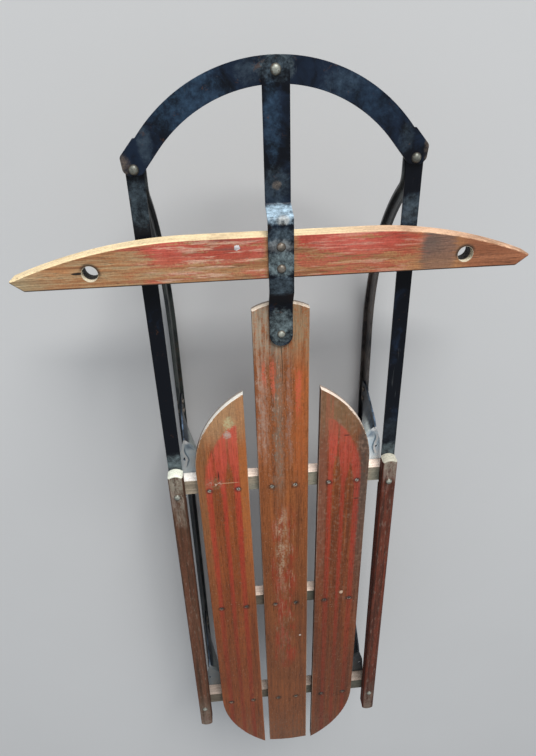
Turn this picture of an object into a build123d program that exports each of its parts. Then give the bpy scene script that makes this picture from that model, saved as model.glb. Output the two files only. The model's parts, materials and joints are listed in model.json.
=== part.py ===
from build123d import *
import math
import os

# A child's steerable snow sled with flexible steel runners, in millimetres.
# X is across the sled (+X is the rider's right), +Y points to the bow, Z is up from the ground.
# The origin is on the ground, in the middle of the sled's length and width.

# Driving dimensions: overall
HALF_LENGTH = 541.0          # origin to the front of the bow, and to the rear of the boards
DECK_TOP = 142.0             # ground to the top of the boards
STEEL = 3.0                  # thickness of the heavy strips: bow, steering strap, runner
THIN_STEEL = 2.5             # thickness of the side straps
SHEET = 2.2                  # thickness of the pressed knees
FLAT_GAP = 0.1               # gap between flat strips that turn on each other
RUNNING_FIT = 0.05           # radial clearance of a rivet in a hole that turns on it

# Driving dimensions: deck boards
BOARD_THICK = 10.0
BOARD_ROUND = 1.2            # rounding of the boards' long top edges
CENTER_HALF_FRONT = 31.3     # half width of the centre board at its front end
CENTER_HALF_REAR = 32.8
CENTER_FRONT_Y = 305.5       # corners of the centre board's front end
CENTER_NOSE = 8.0            # how far the bowed front end stands ahead of its corners
CENTER_TAIL = 3.0            # how far the bowed rear end stands behind its corners
SIDE_INNER_FRONT = 45.5      # inner edge of a side board at its front tip
SIDE_INNER_REAR = 41.5
SIDE_OUTER = 109.5
SIDE_TIP_Y = 203.0           # front tip of a side board, at its inner edge
SIDE_FRONT_RADIUS = 124.5    # the front corner is one big round
SIDE_REAR_RADIUS = 174.0

# Driving dimensions: wooden cross pieces and rails
BENCH_WIDE = 22.0
BENCH_THICK = 18.0
BENCH_ROUND = 2.0            # rounding of the lower long edges
FRONT_BENCH_Y = 61.0
REAR_BENCH_Y = -408.5
CLEAT_Y = -167.5
CLEAT_HALF = 106.0
BENCH_OVERHANG = 9.0         # bench end beyond the rail bolt
RAIL_WIDE = 18.5
RAIL_TOP = 149.0
RAIL_AHEAD = 34.5            # rail front end ahead of the front bolt
RAIL_BEHIND = 49.0           # rail rear end behind the rear bolt
RAIL_END_BOW = 4.0           # how far the rounded ends stand out
RAIL_ROUND = 2.5
RAIL_STEP_BEHIND = 3.0       # the step over the side strap ends this far behind the front bench
BOLT_X = 135.4               # front rail bolts and bow end rivets
TOE = 0.52                   # rails and runners spread to the rear by this angle, degrees

# Driving dimensions: steering bar
BAR_LEFT = 268.0             # the bar reaches further on the left, as the right tip is worn shorter
BAR_RIGHT = 257.2
BAR_REAR_Y = 345.0
BAR_WIDE = 44.0
BAR_THICK = 20.0
BAR_BOTTOM = 135.0
BAR_ARC_X = 88.0             # the front edge is straight to here, then curves back
BAR_TIP_BACK = 33.0
BAR_TIP_CUT = 14.0           # the rear corner is cut back by this much
BAR_TIP_ROUND = 1.5
BAR_CORNER_ROUND = 4.0
BAR_EDGE_ROUND = 1.8
ROPE_HOLE_X = 188.0
ROPE_HOLE_Y = 360.0
ROPE_HOLE_R = 8.0
BAR_BOLT_YS = (356.0, 378.0)

# Driving dimensions: steering strap and its pivots
STRAP_WIDE = 25.4
PIVOT_Y = 278.0
STRAP_END_PAST = 1.5         # the strap's round rear end is centred this far behind the pivot
STEP_UP_YS = (411.5, 404.0)      # foot and head of the step in front of the bar
STEP_DOWN_YS = (331.0, 313.0)    # head and foot of the step behind the bar
STRAP_BEND = 2.5             # rounding of the strap's bends
WASHER_R = 9.0               # washer under the centre board, round the pivot rivet
WASHER_THICK = 1.5

# Driving dimensions: bow and side straps
BOW_CENTER_Y = 374.0
BOW_RADIUS = 155.5           # middle of the strip
BOW_WIDE = 23.0
BOW_BOTTOM = 127.0
BOW_RIVET_IN = 2.5           # end rivets sit this far inside the strip's middle
BOW_END_ROUND = 5.0          # rounding of the straight ends' corners
BOW_END_OUTLINE = (          # a straight end, measured from its rivet: along the strip, outward
    (-24.0, 14.0),
    (-22.5, 15.6),           # the hammered end is a little wider than the strip
    (-1.5, 16.2),
    (7.5, 7.0),
    (8.0, 0.5),
    (-1.0, -9.0),
)
SIDE_STRAP_WIDE = 17.0
SIDE_STRAP_FLAT = 18.7       # flat length of the side strap behind the end rivet
OPEN_PIVOT_GAP = 1.75        # free play of the side strap's front hole on its rivet
TAB_PIVOT_GAP = 1.2          # free play of the runner tip's hole on its rivet

# Driving dimensions: T-section runner
RUNNER_X = 133.5             # middle of the web beside the front bench
SOLE_WIDE = 11.0
WEB_TOP = 25.0
SOLE_TURN = 55.0             # degrees turned by the front curve
TIP_RADIUS = 14.0            # the tighter bend back to level at the tip
TAB_STRAIGHT = 15.0          # flat length behind the end rivet
TAB_RADIUS = 8.5
WEB_AT_TIP = 9.0             # height left in the tapered web at the tip
HEEL_RADIUS = 22.0
RUNNER_SPLIT_Y = 141.5       # the springy front half starts here
SPLIT_GAP = 1.8

# Driving dimensions: pressed knees, half cones open to the outside
KNEE_TOP_AHEAD = 62.0        # length of the flat top ahead of the bolt
KNEE_TOP_BEHIND = 22.0       # and behind it, where the bench hides it
KNEE_TOP_DEPTH = 31.0        # how far the bulge reaches inward at the top
KNEE_FOOT_HALF = 66.0
KNEE_FOOT_DEPTH = 6.5
KNEE_FOOT_Z = 27.5
KNEE_LEAN = 8.0              # the open side leans inward by this much, foot to top
KNEE_SHOULDER = 2.5          # bevel between the bulge and its flat top
KNEE_HOLE = (-7.8, 32.8, 2.5)    # small hole in the flat top: across, ahead, radius
KNEE_RIM = 5.0               # flange round the open side
KNEE_PLATE_AHEAD = 42.0      # the flat top widens outward over this length
KNEE_ARCH_HALF = 36.0        # the arch between the two feet
KNEE_ARCH_TOP = 84.0
FOOT_LENGTH = 36.0
FOOT_BOTTOM = 8.0
FOOT_ROUND = 6.0             # rounding of the foot's lower corners
FOOT_RIVETS = (11.0, 26.0)   # from the foot's outer end

# Driving dimensions: rivets and bolts
SHANK_R = 3.0
SMALL_SHANK_R = 2.5
PIVOT_HEAD_R = 4.5
BOW_HEAD_R = 5.0
BAR_HEAD_R = 4.6
RAIL_HEAD_R = 4.3
NUT_R = 5.5
NUT_THICK = 4.5
FLAT_HEAD = 1.5
DOME_RISE = 0.62             # height of a domed head, as a share of its radius

# Worked-out levels
BOARD_BOTTOM = DECK_TOP - BOARD_THICK
BENCH_BOTTOM = BOARD_BOTTOM - BENCH_THICK
BOW_TOP = BOW_BOTTOM + STEEL
STRAP_LOW = BOW_TOP + FLAT_GAP
STRAP_HIGH = BAR_BOTTOM + BAR_THICK
STRAP_REST = DECK_TOP + FLAT_GAP
SIDE_STRAP_FRONT = BOW_BOTTOM - FLAT_GAP - THIN_STEEL
SIDE_STRAP_REAR = BOARD_BOTTOM + FLAT_GAP
TAB_BOTTOM = SIDE_STRAP_FRONT - FLAT_GAP - STEEL
BOW_END_Y = BOW_CENTER_Y + math.sqrt(BOW_RADIUS ** 2 - BOLT_X ** 2)
SOLE_RADIUS = TAB_BOTTOM / (1 - math.cos(math.radians(SOLE_TURN))) - TIP_RADIUS
SOLE_ARC_START = BOW_END_Y - TAB_STRAIGHT - (SOLE_RADIUS + TIP_RADIUS) * math.sin(math.radians(SOLE_TURN))
BOW_RIVET_Y = BOW_CENTER_Y + BOW_RADIUS
BOW_STRAIGHT_TURN = math.acos(1 - BOW_RIVET_IN / BOW_RADIUS)
BOW_ARC_HALF = math.asin(BOLT_X / BOW_RADIUS) - BOW_STRAIGHT_TURN
RAIL_DX = BOLT_X - RUNNER_X
REAR_BOLT_DY = REAR_BENCH_Y - FRONT_BENCH_Y


def slab(face, bottom, thick):
    """Raise a flat outline drawn on the ground to its level and thickness."""
    return extrude(Pos(0, 0, bottom) * face, thick)


def face_of(*edges):
    """Join edges that meet end to end into one flat outline."""
    return make_face(Curve() + list(edges))


def on_line(shape):
    """Place a right-hand piece drawn along the runner line: x from the web, y from the front bolt."""
    return Pos(RUNNER_X, FRONT_BENCH_Y, 0) * Rot(0, 0, TOE) * shape


def mirrored(shape):
    """The left-hand copy of a right-hand piece."""
    return mirror(shape, about=Plane.YZ)


def upright(x, y, bottom, top, radius):
    """A round rod or hole, standing between two levels."""
    return Pos(x, y, bottom) * Cylinder(radius, top - bottom, align=(Align.CENTER, Align.CENTER, Align.MIN))


def dome(x, y, bottom, radius):
    """A low domed head that sits on a level."""
    height = radius * DOME_RISE
    ball = (radius ** 2 + height ** 2) / (2 * height)
    cap = Pos(0, 0, height - ball) * Sphere(ball)
    keep = Cylinder(radius * 1.2, ball * 2, align=(Align.CENTER, Align.CENTER, Align.MIN))
    return Pos(x, y, bottom) * (cap & keep)


def rivet(x, y, low, high, head, with_nut=False):
    """A rivet with a domed head above, and a flat head or a nut below."""
    body = upright(x, y, low, high, SHANK_R) + dome(x, y, high, head)
    if with_nut:
        nut = slab(RegularPolygon(NUT_R, 6), low - NUT_THICK, NUT_THICK)
        return body + Pos(x, y, 0) * nut
    return body + upright(x, y, low - FLAT_HEAD, low, head)


def side_strip(points, thick, wide):
    """A flat strip bent in the Y-Z plane: points run along its underside."""
    path = Polyline(*points)
    outline = make_face(Curve() + [path, Polyline(*lifted(points, thick)),
                                   Line(points[0], lifted(points, thick)[0]),
                                   Line(points[-1], lifted(points, thick)[-1])])
    return extrude(Plane.YZ * outline, wide / 2, both=True)


def lifted(points, thick):
    """The upper side of a bent strip, at a constant thickness."""
    upper = []
    for index, (y, z) in enumerate(points):
        before = points[max(index - 1, 0)]
        after = points[min(index + 1, len(points) - 1)]
        angle_in = slope(before, (y, z)) if index else slope((y, z), after)
        angle_out = slope((y, z), after) if index < len(points) - 1 else angle_in
        middle = (angle_in + angle_out) / 2
        reach = thick / math.cos((angle_out - angle_in) / 2)
        upper.append((y - reach * math.sin(middle), z + reach * math.cos(middle)))
    return upper


def slope(start, end):
    """Direction of a stretch, in radians."""
    return math.atan2(end[1] - start[1], end[0] - start[0])


def capsule_plan(x, y_rear, y_front, radius, height=400.0):
    """A tall block with a rounded rear and front end, used to trim a strip in plan."""
    middle = Pos(x, (y_rear + y_front) / 2, 0) * Box(radius * 2, y_front - y_rear, height)
    return (middle + Pos(x, y_rear, 0) * Cylinder(radius, height)
            + Pos(x, y_front, 0) * Cylinder(radius, height))


# Deck boards

def center_board():
    """Straight board with a bowed front and rear end and the pivot hole."""
    rear_y = -HALF_LENGTH + CENTER_TAIL
    outline = face_of(
        ThreePointArc((-CENTER_HALF_FRONT, CENTER_FRONT_Y), (0, CENTER_FRONT_Y + CENTER_NOSE),
                      (CENTER_HALF_FRONT, CENTER_FRONT_Y)),
        Line((CENTER_HALF_FRONT, CENTER_FRONT_Y), (CENTER_HALF_REAR, rear_y)),
        ThreePointArc((CENTER_HALF_REAR, rear_y), (0, rear_y - CENTER_TAIL), (-CENTER_HALF_REAR, rear_y)),
        Line((-CENTER_HALF_REAR, rear_y), (-CENTER_HALF_FRONT, CENTER_FRONT_Y)))
    board = slab(outline, BOARD_BOTTOM, BOARD_THICK)
    top = board.faces().sort_by(Axis.Z)[-1]
    board = fillet(top.edges(), BOARD_ROUND)
    return board - upright(0, PIVOT_Y, BOARD_BOTTOM - 1, DECK_TOP + 1, SHANK_R)


def side_board():
    """Right-hand board: its outer corners are big rounds that run to the inner edge."""
    front_start = SIDE_TIP_Y - chord_reach(SIDE_FRONT_RADIUS, SIDE_OUTER - SIDE_INNER_FRONT)
    rear_start = -HALF_LENGTH + chord_reach(SIDE_REAR_RADIUS, SIDE_OUTER - SIDE_INNER_REAR)
    front_tip = (SIDE_INNER_FRONT, SIDE_TIP_Y)
    rear_tip = (SIDE_INNER_REAR, -HALF_LENGTH)
    outline = face_of(
        Line(front_tip, rear_tip),
        tangent_round(rear_tip, (SIDE_OUTER, rear_start), SIDE_REAR_RADIUS),
        Line((SIDE_OUTER, rear_start), (SIDE_OUTER, front_start)),
        tangent_round(front_tip, (SIDE_OUTER, front_start), SIDE_FRONT_RADIUS))
    board = slab(outline, BOARD_BOTTOM, BOARD_THICK)
    top = board.faces().sort_by(Axis.Z)[-1]
    return fillet(top.edges(), BOARD_ROUND)


def chord_reach(radius, drop):
    """How far along the edge a tangent round runs while it falls by drop."""
    return math.sqrt(radius ** 2 - (radius - drop) ** 2)


def tangent_round(tip, start, radius):
    """The round that leaves the outer edge at start and ends at the tip."""
    center = (start[0] - radius, start[1])
    middle_angle = math.atan2(tip[1] - center[1], tip[0] - center[0]) / 2
    middle = (center[0] + radius * math.cos(middle_angle), center[1] + radius * math.sin(middle_angle))
    return ThreePointArc(start, middle, tip)


# Benches, cleat and rails

def bench(y, dy):
    """Cross piece under the boards that carries them, the rails and the knees."""
    half = BOLT_X - dy * math.tan(math.radians(TOE)) + BENCH_OVERHANG
    body = slab(Pos(0, y) * Rectangle(half * 2, BENCH_WIDE), BENCH_BOTTOM, BENCH_THICK)
    body = fillet(body.edges().filter_by(Axis.X).sort_by(Axis.Z)[:2], BENCH_ROUND)
    hole = on_line(upright(RAIL_DX, dy, BENCH_BOTTOM - 1, BOARD_BOTTOM + 1, SHANK_R))
    return body - hole - mirrored(hole)


def middle_cleat():
    """Short cross piece that ties the three boards together."""
    body = slab(Pos(0, CLEAT_Y) * Rectangle(CLEAT_HALF * 2, BENCH_WIDE), BENCH_BOTTOM, BENCH_THICK)
    return fillet(body.edges().filter_by(Axis.X).sort_by(Axis.Z)[:2], BENCH_ROUND)


def side_rail():
    """Right-hand rail: rounded ends, with a shallow step over the side strap at the front."""
    front = RAIL_AHEAD - RAIL_END_BOW
    rear = REAR_BOLT_DY - RAIL_BEHIND + RAIL_END_BOW
    half = RAIL_WIDE / 2
    outline = Pos(RAIL_DX, 0) * face_of(
        ThreePointArc((-half, front), (0, front + RAIL_END_BOW), (half, front)),
        Line((half, front), (half, rear)),
        ThreePointArc((half, rear), (0, rear - RAIL_END_BOW), (-half, rear)),
        Line((-half, rear), (-half, front)))
    rail = slab(outline, BOARD_BOTTOM, RAIL_TOP - BOARD_BOTTOM)
    top = rail.faces().sort_by(Axis.Z)[-1]
    rail = fillet(top.edges(), RAIL_ROUND)
    step_height = THIN_STEEL + 3 * FLAT_GAP
    step_rear = -BENCH_WIDE / 2 - RAIL_STEP_BEHIND
    step_length = RAIL_AHEAD - step_rear + 1
    step = Pos(RAIL_DX, step_rear + step_length / 2, BOARD_BOTTOM + step_height / 2 - 1) * Box(
        RAIL_WIDE * 2, step_length, step_height + 2)
    rail -= step
    for dy in (0, REAR_BOLT_DY):
        rail -= upright(RAIL_DX, dy, BOARD_BOTTOM - 1, RAIL_TOP + 1, SHANK_R)
    return on_line(rail)


# Steering bar and strap

def bar_half(reach):
    """Plan of half the bar: straight rear edge, front edge that curves back to the tip."""
    front = BAR_REAR_Y + BAR_WIDE
    tip = (reach, front - BAR_TIP_BACK)
    span = reach - BAR_ARC_X
    radius = (span ** 2 + BAR_TIP_BACK ** 2) / (2 * BAR_TIP_BACK)
    half_angle = math.asin(span / radius) / 2
    middle = (BAR_ARC_X + radius * math.sin(half_angle), front - radius * (1 - math.cos(half_angle)))
    rear = (reach - BAR_TIP_CUT, BAR_REAR_Y)
    outline = face_of(
        Line((0, BAR_REAR_Y), rear), Line(rear, tip), ThreePointArc(tip, middle, (BAR_ARC_X, front)),
        Line((BAR_ARC_X, front), (0, front)), Line((0, front), (0, BAR_REAR_Y)))
    corners = outline.vertices().sort_by(Axis.X)
    outline = fillet(corners[-1], BAR_TIP_ROUND)
    lowest = outline.vertices().group_by(Axis.Y)[0]
    return fillet(lowest.sort_by(Axis.X)[-1], BAR_CORNER_ROUND)


def steering_bar():
    """Cross bar with rounded edges, two rope holes and two bolt holes."""
    solid = slab(bar_half(BAR_RIGHT), BAR_BOTTOM, BAR_THICK)
    solid += mirrored(slab(bar_half(BAR_LEFT), BAR_BOTTOM, BAR_THICK))
    rim_edges = [edge for face in solid.faces().filter_by(Axis.Z) for edge in face.edges()]
    solid = fillet(rim_edges, BAR_EDGE_ROUND)
    for side in (-1, 1):
        solid -= upright(side * ROPE_HOLE_X, ROPE_HOLE_Y, BAR_BOTTOM - 1, STRAP_HIGH + 1, ROPE_HOLE_R)
    for y in BAR_BOLT_YS:
        solid -= upright(0, y, BAR_BOTTOM - 1, STRAP_HIGH + 1, SHANK_R)
    return solid


def steering_strap():
    """Strap from the pivot on the centre board, up over the bar, and down to the top of the bow."""
    half = STRAP_WIDE / 2
    rear = PIVOT_Y - STRAP_END_PAST
    points = [(rear - half - 1, STRAP_REST), (STEP_DOWN_YS[1], STRAP_REST), (STEP_DOWN_YS[0], STRAP_HIGH),
              (STEP_UP_YS[1], STRAP_HIGH), (STEP_UP_YS[0], STRAP_LOW), (BOW_RIVET_Y + half + 1, STRAP_LOW)]
    strap = side_strip(points, STEEL, STRAP_WIDE)
    bends = [edge for edge in strap.edges().filter_by(Axis.X)
             if PIVOT_Y + half < edge.center().Y < BOW_RIVET_Y - half]
    strap = fillet(bends, STRAP_BEND)
    strap = strap & capsule_plan(0, rear, HALF_LENGTH - half, half)
    for y in (PIVOT_Y, BOW_RIVET_Y):
        strap -= upright(0, y, 100, 170, SHANK_R + RUNNING_FIT)
    for y in BAR_BOLT_YS:
        strap -= upright(0, y, 150, 165, SHANK_R)
    return strap


def bar_bolts():
    """Two bolts through the strap and the bar."""
    return [rivet(0, y, BAR_BOTTOM, STRAP_HIGH + STEEL, BAR_HEAD_R, with_nut=True) for y in BAR_BOLT_YS]


def pivot_rivet():
    """The rivet in the centre board that the steering strap turns on."""
    high = STRAP_REST + STEEL + FLAT_GAP
    low = BOARD_BOTTOM - WASHER_THICK
    washer = upright(0, PIVOT_Y, low, BOARD_BOTTOM, WASHER_R)
    return rivet(0, PIVOT_Y, low, high, PIVOT_HEAD_R) + washer


# Bow and side straps

def bow():
    """Flat steel strip bent to an arc, with straight ends that take the end rivets."""
    outer = BOW_RADIUS + BOW_WIDE / 2
    inner = BOW_RADIUS - BOW_WIDE / 2
    ring = Circle(outer) - Circle(inner)
    side_x = outer * 2 * math.sin(BOW_ARC_HALF)
    side_y = outer * 2 * math.cos(BOW_ARC_HALF)
    wedge = make_face(Polyline((0, 0), (-side_x, side_y), (0, outer * 4), (side_x, side_y), (0, 0)))
    end = bow_end()
    strip = Pos(0, BOW_CENTER_Y) * (ring & wedge) + end + mirrored(end)
    solid = slab(strip, BOW_BOTTOM, STEEL)
    for x, y in ((0, BOW_RIVET_Y), (-BOLT_X, BOW_END_Y), (BOLT_X, BOW_END_Y)):
        solid -= upright(x, y, BOW_BOTTOM - 1, BOW_TOP + 1, SHANK_R)
    return solid


def bow_end():
    """Plan of the right-hand straight end."""
    start = -BOW_RADIUS * math.sin(BOW_STRAIGHT_TURN)
    outer = BOW_RIVET_IN + BOW_WIDE / 2
    inner = BOW_RIVET_IN - BOW_WIDE / 2
    outline = make_face(Polyline((start, inner), (start, outer), *BOW_END_OUTLINE, (start, inner)))
    corners = outline.vertices().sort_by(Axis.X)
    outline = fillet(corners[-4:], BOW_END_ROUND)
    return Pos(BOLT_X, BOW_END_Y) * Rot(0, 0, -math.degrees(BOW_ARC_HALF)) * outline


def bow_rivets():
    """Centre rivet through the steering strap, and end rivets through the runner tips and side straps."""
    center = rivet(0, BOW_RIVET_Y, BOW_BOTTOM, STRAP_LOW + STEEL + FLAT_GAP, BOW_HEAD_R)
    low = TAB_BOTTOM - FLAT_GAP
    ends = [rivet(side * BOLT_X, BOW_END_Y, low, BOW_TOP, BOW_HEAD_R) for side in (-1, 1)]
    return [center] + ends


def side_strap():
    """Right-hand strap from the front rail bolt to the bow end: flat at both ends, with two soft bends."""
    half = SIDE_STRAP_WIDE / 2
    points = [(FRONT_BENCH_Y - half - 1, SIDE_STRAP_REAR), (FRONT_BENCH_Y + BENCH_WIDE, SIDE_STRAP_REAR),
              (BOW_END_Y - SIDE_STRAP_FLAT, SIDE_STRAP_FRONT), (BOW_END_Y + half + 1, SIDE_STRAP_FRONT)]
    strap = side_strip(points, THIN_STEEL, SIDE_STRAP_WIDE)
    strap = Pos(BOLT_X, 0, 0) * strap & capsule_plan(BOLT_X, FRONT_BENCH_Y, BOW_END_Y, half)
    strap -= upright(BOLT_X, FRONT_BENCH_Y, 120, 140, SHANK_R + RUNNING_FIT)
    return strap - upright(BOLT_X, BOW_END_Y, 110, 130, SHANK_R + OPEN_PIVOT_GAP)


# Runners

def sole_curve(offset):
    """Points of the runner's side line, offset above the sole: heel, flat, front curve, tip, tab."""
    turn = math.radians(SOLE_TURN)
    inner = SOLE_RADIUS - offset
    start = (SOLE_ARC_START - FRONT_BENCH_Y, offset)
    mid = (start[0] + inner * math.sin(turn / 2), SOLE_RADIUS - inner * math.cos(turn / 2))
    end = (start[0] + inner * math.sin(turn), SOLE_RADIUS - inner * math.cos(turn))
    tip = TIP_RADIUS + offset
    tip_center = (start[0] + (SOLE_RADIUS + TIP_RADIUS) * math.sin(turn),
                  SOLE_RADIUS - (SOLE_RADIUS + TIP_RADIUS) * math.cos(turn))
    tip_mid = (tip_center[0] - tip * math.sin(turn / 2), tip_center[1] + tip * math.cos(turn / 2))
    tip_end = (tip_center[0], tip_center[1] + tip)
    return start, mid, end, tip_mid, tip_end


def runner():
    """Right-hand runner: sole and web of one T-section, curved up and flattened to a tab at the tip."""
    heel = -HALF_LENGTH - FRONT_BENCH_Y
    low = sole_curve(0)
    high = sole_curve(STEEL)
    tab_y = BOW_END_Y - FRONT_BENCH_Y
    sole = face_of(
        Line((heel, 0), low[0]), ThreePointArc(low[0], low[1], low[2]), ThreePointArc(low[2], low[3], low[4]),
        Line(low[4], (tab_y, low[4][1])), Line((tab_y, low[4][1]), (tab_y, high[4][1])),
        Line((tab_y, high[4][1]), high[4]), ThreePointArc(high[4], high[3], high[2]),
        ThreePointArc(high[2], high[1], high[0]), Line(high[0], (heel, STEEL)),
        Line((heel, STEEL), (heel, 0)))
    body = extrude(Plane.YZ * sole, SOLE_WIDE / 2, both=True)
    web = extrude(Plane.YZ * web_outline(heel, high), STEEL / 2, both=True)
    heel_cut = Pos(0, heel, 0) * (Box(SOLE_WIDE * 2, HEEL_RADIUS * 2, HEEL_RADIUS * 2)
                                  - Pos(0, HEEL_RADIUS, HEEL_RADIUS) * Rot(0, 90, 0)
                                  * Cylinder(HEEL_RADIUS, SOLE_WIDE * 3))
    body = body + web - heel_cut
    return body + runner_tab(tab_y)


def web_outline(heel, high):
    """The web keeps its height along the flat, then tapers to the tip."""
    start_y = high[0][0]
    turn = math.radians(SOLE_TURN)
    tip = (high[2][0] - WEB_AT_TIP * math.sin(turn), high[2][1] + WEB_AT_TIP * math.cos(turn))
    sag = (WEB_TOP - STEEL + WEB_AT_TIP) / 2
    middle = (high[1][0] - sag * math.sin(turn / 2), high[1][1] + sag * math.cos(turn / 2))
    return face_of(
        Line((heel, STEEL), high[0]), ThreePointArc(high[0], high[1], high[2]), Line(high[2], tip),
        ThreePointArc(tip, middle, (start_y, WEB_TOP)), Line((start_y, WEB_TOP), (heel, WEB_TOP)),
        Line((heel, WEB_TOP), (heel, STEEL)))


def runner_tab(tab_y):
    """The flattened tip: it widens outward to the end rivet of the bow."""
    rivet_x = BOLT_X - RUNNER_X + math.tan(math.radians(TOE)) * tab_y
    half = SOLE_WIDE / 2
    back = tab_y - 2 * TAB_RADIUS + 1
    wing = make_face(Polyline((-half, back), (half, back), (rivet_x + TAB_RADIUS, tab_y),
                              (rivet_x - TAB_RADIUS, tab_y), (-half, back)))
    outline = wing + Pos(rivet_x, tab_y) * Circle(TAB_RADIUS)
    outline -= Pos(rivet_x, tab_y) * Circle(SHANK_R + TAB_PIVOT_GAP)
    return slab(outline, TAB_BOTTOM, STEEL)


def runner_halves():
    """The fixed rear length and the springy front length of the right-hand runner."""
    whole = runner()
    split = RUNNER_SPLIT_Y - FRONT_BENCH_Y
    size = 4 * HALF_LENGTH
    hole = Pos(BOLT_X - RUNNER_X + math.tan(math.radians(TOE)) * (BOW_END_Y - FRONT_BENCH_Y),
               BOW_END_Y - FRONT_BENCH_Y, TAB_BOTTOM) * Cylinder(SHANK_R + TAB_PIVOT_GAP, 4 * STEEL)
    rear = whole & (Pos(0, split - SPLIT_GAP / 2 - size / 2, 0) * Box(size, size, size))
    front = (whole & (Pos(0, split + SPLIT_GAP / 2 + size / 2, 0) * Box(size, size, size))) - hole
    for dy in knee_stations():
        for y in foot_rivet_ys():
            rear -= Pos(0, dy + y, foot_rivet_z()) * Rot(0, 90, 0) * Cylinder(SMALL_SHANK_R, STEEL * 4)
    return on_line(rear), on_line(front)


# Knees

def knee_stations():
    """Distances of the knees' middles from the front bolt, along the runner."""
    return 0.0, REAR_BOLT_DY


def foot_rivet_ys():
    """Rivet stations of both feet of one knee."""
    outer = KNEE_FOOT_HALF + KNEE_RIM
    ahead = [outer - step for step in FOOT_RIVETS]
    return ahead + [-y for y in ahead]


def foot_rivet_z():
    """Height of the rivets in the web."""
    return (FOOT_BOTTOM + WEB_TOP) / 2 + 1


def knee_share(z):
    """Share of the way from a knee's foot line to its top."""
    return (z - KNEE_FOOT_Z) / (BENCH_BOTTOM - KNEE_FOOT_Z)


def knee_bulge(grow, outward, z_low, z_high):
    """A half cone between the foot and top outlines, grown or shrunk evenly; outward opens its flat side."""
    sections = []
    for z in (z_low, z_high):
        share = knee_share(z)
        ahead = KNEE_FOOT_HALF + share * (KNEE_TOP_AHEAD - KNEE_FOOT_HALF) + grow
        behind = KNEE_FOOT_HALF + share * (KNEE_TOP_BEHIND - KNEE_FOOT_HALF) + grow
        depth = KNEE_FOOT_DEPTH + share * (KNEE_TOP_DEPTH - KNEE_FOOT_DEPTH) + grow
        lean = -share * KNEE_LEAN
        arc = ThreePointArc((lean, ahead), (-depth, (ahead - behind) / 2), (lean, -behind))
        if outward:
            back = lean + outward
            rest = [Line((lean, -behind), (back, -behind)), Line((back, -behind), (back, ahead)),
                    Line((back, ahead), (lean, ahead))]
        else:
            rest = [Line((lean, -behind), (lean, ahead))]
        sections.append(Pos(0, 0, z) * face_of(arc, *rest))
    return loft(sections, ruled=True)


def knee():
    """Pressed steel knee: a half cone closed at the top, a flange, two feet and a bolt tongue."""
    outside = -STEEL / 2
    bulge = knee_bulge(0, 0, KNEE_FOOT_Z, BENCH_BOTTOM)
    top = bulge.faces().sort_by(Axis.Z)[-1]
    shoulder = top.edges().filter_by(GeomType.CIRCLE)
    bulge = chamfer(shoulder, KNEE_SHOULDER)
    hollow = knee_bulge(-SHEET, SHEET * 4, KNEE_FOOT_Z - SHEET, BENCH_BOTTOM - SHEET)
    shell = bulge + knee_flange() - hollow
    arch_mid = KNEE_ARCH_TOP - KNEE_ARCH_HALF
    arch_low = -FOOT_LENGTH
    arch_face = Pos(0, (arch_mid + arch_low) / 2) * Rectangle(KNEE_ARCH_HALF * 2, arch_mid - arch_low) + Pos(
        0, arch_mid) * Circle(KNEE_ARCH_HALF)
    shell -= extrude(Plane.YZ * arch_face, KNEE_TOP_DEPTH * 2, both=True)
    shell += knee_plate(RAIL_DX - outside)
    for side in (-1, 1):
        shell += knee_foot(side)
    for y in foot_rivet_ys():
        shell -= Pos(0, y, foot_rivet_z()) * Rot(0, 90, 0) * Cylinder(SMALL_SHANK_R, SHEET * 4)
    return Pos(outside, 0, 0) * shell


def knee_flange():
    """A narrow flange along the sloping edges of the open side, leaning with it."""
    rise = BENCH_BOTTOM - KNEE_FOOT_Z
    length = math.hypot(rise, KNEE_LEAN)
    low = KNEE_FOOT_HALF + KNEE_RIM
    ahead = KNEE_TOP_AHEAD + KNEE_RIM
    behind = KNEE_TOP_BEHIND + KNEE_RIM
    corner = KNEE_RIM * 2
    outline = make_face(Polyline(
        (-low, 0), (-behind, length - corner), (-behind + KNEE_RIM, length), (ahead - KNEE_RIM, length),
        (ahead, length - corner), (low, 0), (-low, 0)))
    leaning = Rot(0, -math.degrees(math.asin(KNEE_LEAN / length)), 0)
    return Pos(0, 0, KNEE_FOOT_Z) * leaning * Pos(-SHEET, 0, 0) * extrude(Plane.YZ * outline, SHEET)


def knee_plate(bolt_x):
    """The flat top: it fills out to the web's plane, with a tongue that takes the rail bolt."""
    tongue_half = BENCH_WIDE / 2 + 1
    reach = bolt_x + BENCH_OVERHANG - 2
    outline = make_face(Polyline(
        (-KNEE_LEAN, -KNEE_TOP_BEHIND), (0, -tongue_half), (reach, -tongue_half), (reach, tongue_half),
        (0, tongue_half), (-SHEET, KNEE_PLATE_AHEAD), (-KNEE_LEAN, KNEE_TOP_AHEAD), (-KNEE_LEAN * 2, 0),
        (-KNEE_LEAN, -KNEE_TOP_BEHIND)))
    plate = slab(outline, BENCH_BOTTOM - SHEET, SHEET)
    hole_x, hole_y, hole_r = KNEE_HOLE
    for x, y, radius in ((bolt_x, 0, SHANK_R), (hole_x, hole_y, hole_r)):
        plate -= upright(x, y, BENCH_BOTTOM - SHEET * 2, BENCH_BOTTOM + 1, radius)
    return plate


def knee_foot(side):
    """A flat foot that lies against the runner web, at the front or rear of the knee."""
    high = KNEE_FOOT_Z + FOOT_ROUND
    middle = side * (KNEE_FOOT_HALF + KNEE_RIM - FOOT_LENGTH / 2)
    foot = Pos(-SHEET / 2, middle, (FOOT_BOTTOM + high) / 2) * Box(SHEET, FOOT_LENGTH, high - FOOT_BOTTOM)
    bottom = foot.edges().filter_by(Axis.X).sort_by(Axis.Z)[:2]
    return fillet(bottom, FOOT_ROUND)


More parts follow.
